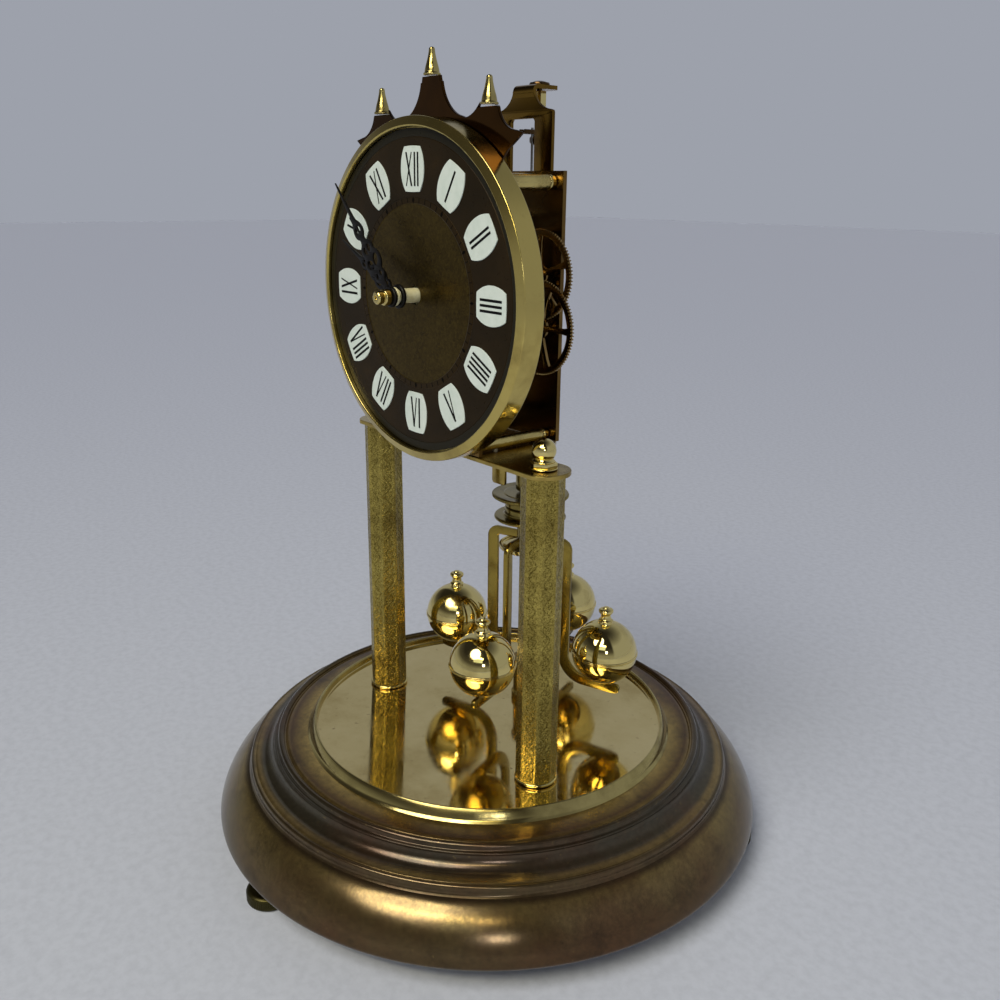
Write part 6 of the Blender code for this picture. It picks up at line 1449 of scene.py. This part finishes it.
@dataclass
class Suspension(Assembly):
    """Bracket behind the back plate, blocks, ribbon, fork and saddle screw."""

    face: float = 11.4
    thickness: float = 1.2
    axis_y: float = PENDULUM_Y
    top: float = 245.8
    fork_z: float = 231.2
    ribbon_ends: Pair = (126.0, 238.8)

    def build(self) -> None:
        """Make every piece of the suspension."""
        self.bracket()
        self.blocks()
        self.fork()
        self.guard()

    def bracket(self) -> None:
        """Sheet wall with rounded shoulders and a window, bent back over the pendulum's axis."""
        right = np.concatenate([
            [(4.6, 244.0)], bow((13.2, 244.6), (8.6, 6.3), 182.0, 262.0, 16),
            eased([(12.0, 238.3), (13.2, 238.1, 0.9), (13.2, 209.6, 1.4), (5.4, 209.6, 0.8),
                   (5.4, 235.2, 0.1), (4.9, 236.0, 0.6), (0.0, 236.0)]),
        ])
        wall = flat_shape([mirrored(right[:-1])], self.face, self.face + self.thickness, 0.12)
        middle = self.face + self.thickness / 2.0
        bend = bow((middle + 1.4, self.top - 2.0), (1.4, 1.4), 180.0, 90.0, 12)
        path = np.concatenate([[(middle, 243.2)], bend, [(y, self.top - 0.6) for y in (20.0, 21.6, 22.4)]])
        widths = np.full(len(path), 4.6)
        widths[-2:] = (4.4, 3.6)
        tab = strap_shape(path, widths, self.thickness)
        self.add("bracket_look", DARK_REFLECTION_BRACKET_BRASS, wall, tab, solid="suspension_bracket")
        head = eased([(0.0, 14.2), (1.6, 14.0, 0.4), (1.9, 13.6, 0.2), (1.9, 12.6), (0.0, 12.6)])
        screws = [turned_shape(head, 32, (x, 213.5)) for x in (-9.3, 9.3)]
        self.add("bracket_screws", STEEL, *screws)

    def blocks(self) -> None:
        """Top and bottom blocks, the ribbon between them and the domed saddle screw."""
        y = self.axis_y
        shape = block_shape((-1.9, y - 1.1, 239.0), (1.9, y + 1.1, 244.4), 0.2)
        pin = eased([(0.0, y - 1.45), (0.55, y - 1.45, 0.1), (0.6, y - 1.1), (0.6, y + 1.1), (0.0, y + 1.1)])
        pin = turned_shape(pin, 24, (0.0, 241.1))
        self.add("top_block_look", POLISHED, shape, pin)
        low, high = self.ribbon_ends
        ribbon = strap_shape(np.array([(y, low), (y, (low + high) / 2.0), (y, high)]), np.full(3, 0.6), 0.12)
        self.add("ribbon_look", STEEL, ribbon, angle=TURNED_CREASE, solid="suspension_spring")
        dome = np.concatenate([
            [(0.0, 243.1), (0.9, 243.1), (0.9, 246.0)],
            eased([(2.9, 246.0), (3.15, 246.05, 0.1), (3.2, 246.3, 0.1), (3.0, 246.7)]),
            bow((0.0, 245.6), (3.4, 1.7), 40.0, 90.0, 10),
        ])
        self.turned("saddle_screw_look", BRONZE, dome, 56, centre=(0.0, y))
        block = block_shape((-1.8, y - 1.0, 121.8), (1.8, y + 1.0, 125.8), 0.2)
        self.add("bottom_block_look", POLISHED, block, angle=TURNED_CREASE, body="pendulum")

    def fork(self) -> None:
        """Round clamp on the ribbon with two tines that reach past the anchor's pin."""
        y, z = self.axis_y, self.fork_z
        body = eased([
            (0.0, z - 2.5), (1.8, z - 2.5, 0.5), (2.8, z - 1.8, 0.5), (2.8, z - 0.2, 0.5), (1.8, z + 0.5),
            (0.0, z + 0.5),
        ])
        shapes = [turned_shape(body, 44, (0.0, y), axis=Axis.UP)]
        for side in (-1.0, 1.0):
            near, far = sorted((side * 0.76, side * 1.34))
            shapes.append(block_shape((near, y - 6.8, z + 0.6), (far, y + 1.0, z + 1.9), 0.1))
        self.add("fork_look", BRONZE, *shapes, body="fork_body")

    def guard(self) -> None:
        """Guard bracket below the platform: a strap and two legs with rounded ends."""
        strap = block_shape((-11.5, 6.9, 136.1), (11.5, 11.3, 137.1), 0.15)
        shapes = [strap]
        for side in (-1.0, 1.0):
            near, far = sorted((side * 4.8, side * 11.5))
            leg = eased([(near, 136.3), (near, 117.8, 1.2), (far, 117.8, 1.2), (far, 136.3)])
            shapes.append(flat_shape([leg], 10.3, 11.3, 0.12))
            head = eased([(0.0, 136.1), (1.9, 136.1), (1.9, 135.2, 0.3), (1.4, 134.9, 0.2), (0.0, 134.9)])
            shapes.append(turned_shape(head, 28, (side * 8.15, 9.0), axis=Axis.UP))
        self.add("guard_look", SATIN, *shapes, solid="guard_bracket")


@dataclass
class Pendulum(Assembly):
    """Hub, rating disc, dish, crossed frames and four balls, turning on the ribbon."""

    y: float = PENDULUM_Y
    orbit: float = 30.76
    ball_radius: float = 11.3
    ball_z: float = 62.5
    angle: float = math.radians(18.3)
    frame_outer: float = 16.8
    frame_top: float = 100.6
    frame_half: float = 0.7

    def build(self) -> None:
        """Make every piece of the pendulum."""
        self.hub()
        self.disc()
        self.dish()
        for name, turn in (("a", 0.0), ("b", TAU / 4.0)):
            self.frame(name, self.angle + turn)
        for number in range(4):
            self.ball(number + 1, self.angle + number * TAU / 4.0)

    def hub(self) -> None:
        """Head, waist, flange, core and the long guide rod."""
        profile = eased([
            (0.0, 123.6), (2.2, 123.6), (4.6, 123.6, 0.3), (5.2, 123.1, 0.3), (5.2, 116.8, 0.3),
            (4.7, 116.3, 0.2), (1.8, 116.3), (1.8, 110.5), (8.6, 110.5, 0.3), (8.9, 110.1, 0.3),
            (8.9, 107.8, 0.5), (9.6, 107.4, 0.3), (12.2, 107.4, 0.3), (12.6, 106.9, 0.3),
            (12.6, 106.4, 0.3), (12.0, 106.0, 0.4), (4.4, 104.6, 0.5), (4.4, 96.2), (2.6, 96.2),
            (2.6, 93.5, 0.3), (1.2, 93.3), (1.2, 41.4, 0.3), (0.0, 41.0),
        ])
        self.turned("pendulum_hub_look", DARK_REFLECTION_DISC_BRASS, profile, 72, centre=(0.0, self.y), body="pendulum")

    def disc(self) -> None:
        """Rating disc with a finely milled rim over a waisted boss."""
        def milled(radius: Array, turn: Array) -> Array:
            """Cut fine teeth in the rim alone."""
            return np.where(radius > 13.1, radius - 0.08 + 0.08 * np.cos(turn * 90.0), radius)

        profile = eased([
            (1.95, 115.4), (9.0, 115.4, 0.2), (9.3, 115.2, 0.2), (12.9, 115.4, 0.2), (13.4, 115.1, 0.1),
            (13.4, 114.3, 0.1), (12.9, 114.0, 0.2), (9.6, 113.9, 0.3), (8.9, 113.4, 0.3), (8.9, 111.0, 0.2),
            (8.6, 110.7), (1.95, 110.7),
        ])
        self.turned(
            "rating_disc_look", DARK_REFLECTION_DISC_BRASS, profile, 360, centre=(0.0, self.y), closed=True, ripple=milled,
            body="rating_nut",
        )

    def dish(self) -> None:
        """Thin dish below the frames' bars."""
        profile = eased([
            (2.75, 95.8), (9.6, 95.8, 0.3), (9.9, 96.6, 0.2), (10.6, 96.6, 0.2), (10.7, 96.3, 0.1),
            (10.7, 95.3, 0.3), (10.3, 95.0, 0.2), (2.75, 95.0),
        ])
        self.turned("dish_look", POLISHED, profile, 72, centre=(0.0, self.y), closed=True, body="pendulum")

    def frame(self, name: str, angle: float) -> None:
        """Flat stamped frame: bar, rounded shoulders, legs and hooks that sweep out below the balls."""
        outer, inner = self.frame_outer, self.frame_outer - 4.0
        seat = self.ball_z - self.ball_radius - 0.2
        low = seat - 3.6
        right = np.concatenate([
            bow((outer - 4.0, self.frame_top - 4.0), 4.0, 90.0, 0.0, 12),
            bow((outer + 6.9, 58.0), (6.9, 6.9), 180.0, 270.0, 14),
            bow((36.0, seat - 0.9), (1.0, 0.9), 90.0, 0.0, 5),
            bow((35.4, seat - 1.9), (1.6, 1.5), 0.0, -60.0, 5),
            [(34.0, low)],
            bow((inner + 10.3, 58.0), (10.3, 58.0 - low), 270.0, 180.0, 18),
            eased([(inner, 60.0), (inner, 97.7, 1.2), (inner - 3.0, 97.7)]),
        ])
        half = self.frame_half
        shape = flat_shape([mirrored(right)], -half, half, 0.15, Axis.BACK, angle, (0.0, self.y))
        self.add(f"cross_frame_{name}_look", SHADED_FRAME_BRASS, shape, angle=TURNED_CREASE, body="pendulum")

    def ball(self, number: int, angle: float) -> None:
        """Polished ball with a raised double seam and a turned knob on top."""
        r, z = self.ball_radius, self.ball_z
        seam = math.degrees(math.asin(0.55 / r))
        knob = z + 10.95
        profile = np.concatenate([
            bow((0.0, z), r, -90.0, -seam, 40),
            eased([(r - 0.02, z - 0.55), (r + 0.26, z - 0.42, 0.1), (r + 0.26, z - 0.14, 0.08),
                   (r, z, 0.08), (r + 0.26, z + 0.14, 0.08), (r + 0.26, z + 0.42, 0.1),
                   (r - 0.02, z + 0.55)]),
            bow((0.0, z), r, seam, 76.0, 36),
            eased([(2.7, knob), (2.5, knob + 0.5, 0.3), (2.6, knob + 1.0, 0.3), (1.9, knob + 1.5, 0.4),
                   (1.65, knob + 2.6, 0.4), (1.75, knob + 3.2, 0.3), (2.5, knob + 3.9, 0.4),
                   (2.6, knob + 4.6, 0.3), (2.2, knob + 5.1, 0.3), (1.2, knob + 5.4, 0.3),
                   (1.0, knob + 5.75, 0.2), (0.0, knob + 5.85)]),
        ])
        centre = (self.orbit * math.cos(angle), self.y + self.orbit * math.sin(angle))
        self.turned(f"ball_{number}_look", POLISHED, profile, 112, centre=centre, body="pendulum")


@dataclass
class Studio:
    """Pale floor, soft lights, world and the camera at the photograph's view."""

    position: Triple = (237.75, -200.95, 215.34)
    azimuth: float = math.radians(49.21)
    pitch: float = math.radians(17.69)
    roll: float = math.radians(0.70)
    focal_pixels: float = 972.92
    frame_pixels: float = 1000.0
    sensor: float = 36.0
    backdrop: str = "9da1ab"
    sun: float = 1.8
    sun_angle: float = math.radians(34.0)
    floor_half: float = 6000.0
    far_side: Triple = (0.208, 0.978, 0.0)

    def build(self) -> None:
        """Set the view transform, the world, the floor, the lights and the camera."""
        bpy.context.scene.view_settings.view_transform = "Standard"
        self.world()
        self.floor()
        self.lights()
        self.camera()

    def world(self) -> None:
        """Grey surroundings: pale on the far side, and dark above a low band on the near side."""
        world = bpy.data.worlds.new("studio")
        bpy.context.scene.world = world
        world.use_nodes = True
        nodes = Nodes(world.node_tree)
        place = nodes.add("ShaderNodeTexCoord").outputs["Generated"]
        height = nodes.add("ShaderNodeSeparateXYZ", {0: place}).outputs["Z"]
        near, far = (nodes.ramp(height, stops) for stops in (
            ((0.0, "989b9f"), (0.12, "94969a"), (0.34, "504f50"), (0.6, "2e2d2f"), (1.0, "2a292b")),
            ((0.0, self.backdrop), (0.6, self.backdrop), (0.8, "74767b"), (1.0, "2c2b2e")),
        ))
        toward = nodes.add("ShaderNodeVectorMath", {0: place, 1: self.far_side}, operation="DOT_PRODUCT")
        side = nodes.spread(toward.outputs["Value"], -0.05, 0.05, 0.0, 1.0)
        nodes.wire(nodes.tree.nodes["Background"].inputs["Color"], nodes.blend(side, near, far))

    def floor(self) -> None:
        """Wide pale floor with a faint mottle."""
        plane = rectangle((0.0, 0.0), self.floor_half, self.floor_half)
        corners = np.column_stack([plane, np.zeros(len(plane))])
        finish = Paint("studio_floor", "c4c9d6", "bbc0cd", 0.9, "dial_brown", 0.0, 0.1)
        floor = mesh_piece("floor", corners, [[0, 1, 2, 3]], finish)

    def lights(self) -> None:
        """A wide soft sun from the front, and a window, a lamp and a strip for crisp highlights."""
        self.lamp("sun", "SUN", (110.0, -820.0, 1250.0), self.sun, "fffcf8")
        lamps = (
            ("window_front", (376.0, -601.0, 614.0), (480.0, 300.0), 0.5, "f4fff4"),
            ("lamp_near", (797.0, -587.0, 430.0), (130.0, 130.0), 0.75, "f2f6ff"),
            ("strip_high", (329.0, -597.0, 710.0), (600.0, 80.0), 1.8, "fff0b8"),
        )
        for name, place, size, power, tint in lamps:
            lamp = self.lamp(name, "AREA", place, power, tint)
            lamp.shape = "RECTANGLE"
            lamp.size, lamp.size_y = size[0] * MM, size[1] * MM

    def lamp(self, name: str, kind: str, place: Triple, energy: float, tint: str) -> Any:
        """Add a lamp that looks at the clock, and return its data."""
        lamp = bpy.data.lights.new(name, kind)
        lamp.energy, lamp.color = energy, linear(tint)[:3]
        if kind == "SUN":
            lamp.angle = self.sun_angle
        holder = bpy.data.objects.new(name, lamp)
        holder.location = Vector(place) * MM
        aim = Vector((0.0, 0.0, 120.0)) * MM - holder.location
        holder.rotation_euler = aim.to_track_quat("-Z", "Y").to_euler()
        bpy.context.scene.collection.objects.link(holder)
        return lamp

    def camera(self) -> None:
        """Camera from the fitted place, azimuth, pitch and roll."""
        right = Vector((math.cos(self.azimuth), math.sin(self.azimuth), 0.0))
        level = Vector((-math.sin(self.azimuth), math.cos(self.azimuth), 0.0))
        ahead = level * math.cos(self.pitch) + Vector((0.0, 0.0, -1.0)) * math.sin(self.pitch)
        up = right.cross(ahead)
        across = right * math.cos(self.roll) + up * math.sin(self.roll)
        above = -right * math.sin(self.roll) + up * math.cos(self.roll)
        data = bpy.data.cameras.new("camera")
        data.sensor_width = self.sensor
        data.lens = self.focal_pixels / self.frame_pixels * self.sensor
        data.clip_start, data.clip_end = 0.01, 20.0
        camera = bpy.data.objects.new("camera", data)
        turn = Matrix((across, above, -ahead)).transposed().to_4x4()
        camera.matrix_world = Matrix.Translation(Vector(self.position) * MM) @ turn
        bpy.context.scene.collection.objects.link(camera)
        bpy.context.scene.camera = camera


def main() -> None:
    """Load the frame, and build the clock's looks."""
    logging.basicConfig(level=logging.INFO, format="%(message)s")
    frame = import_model()
    ledger = Ledger()
    Base(ledger).build()
    Pillars(ledger).build()
    Movement(ledger).build(frame["nodes"])
    Dial(ledger).build()
    Hands(ledger).build()
    Suspension(ledger).build()
    Pendulum(ledger).build()
    Studio().build()
    LOG.info("%d pieces", len(ledger.pieces))


if __name__ == "__main__":
    main()
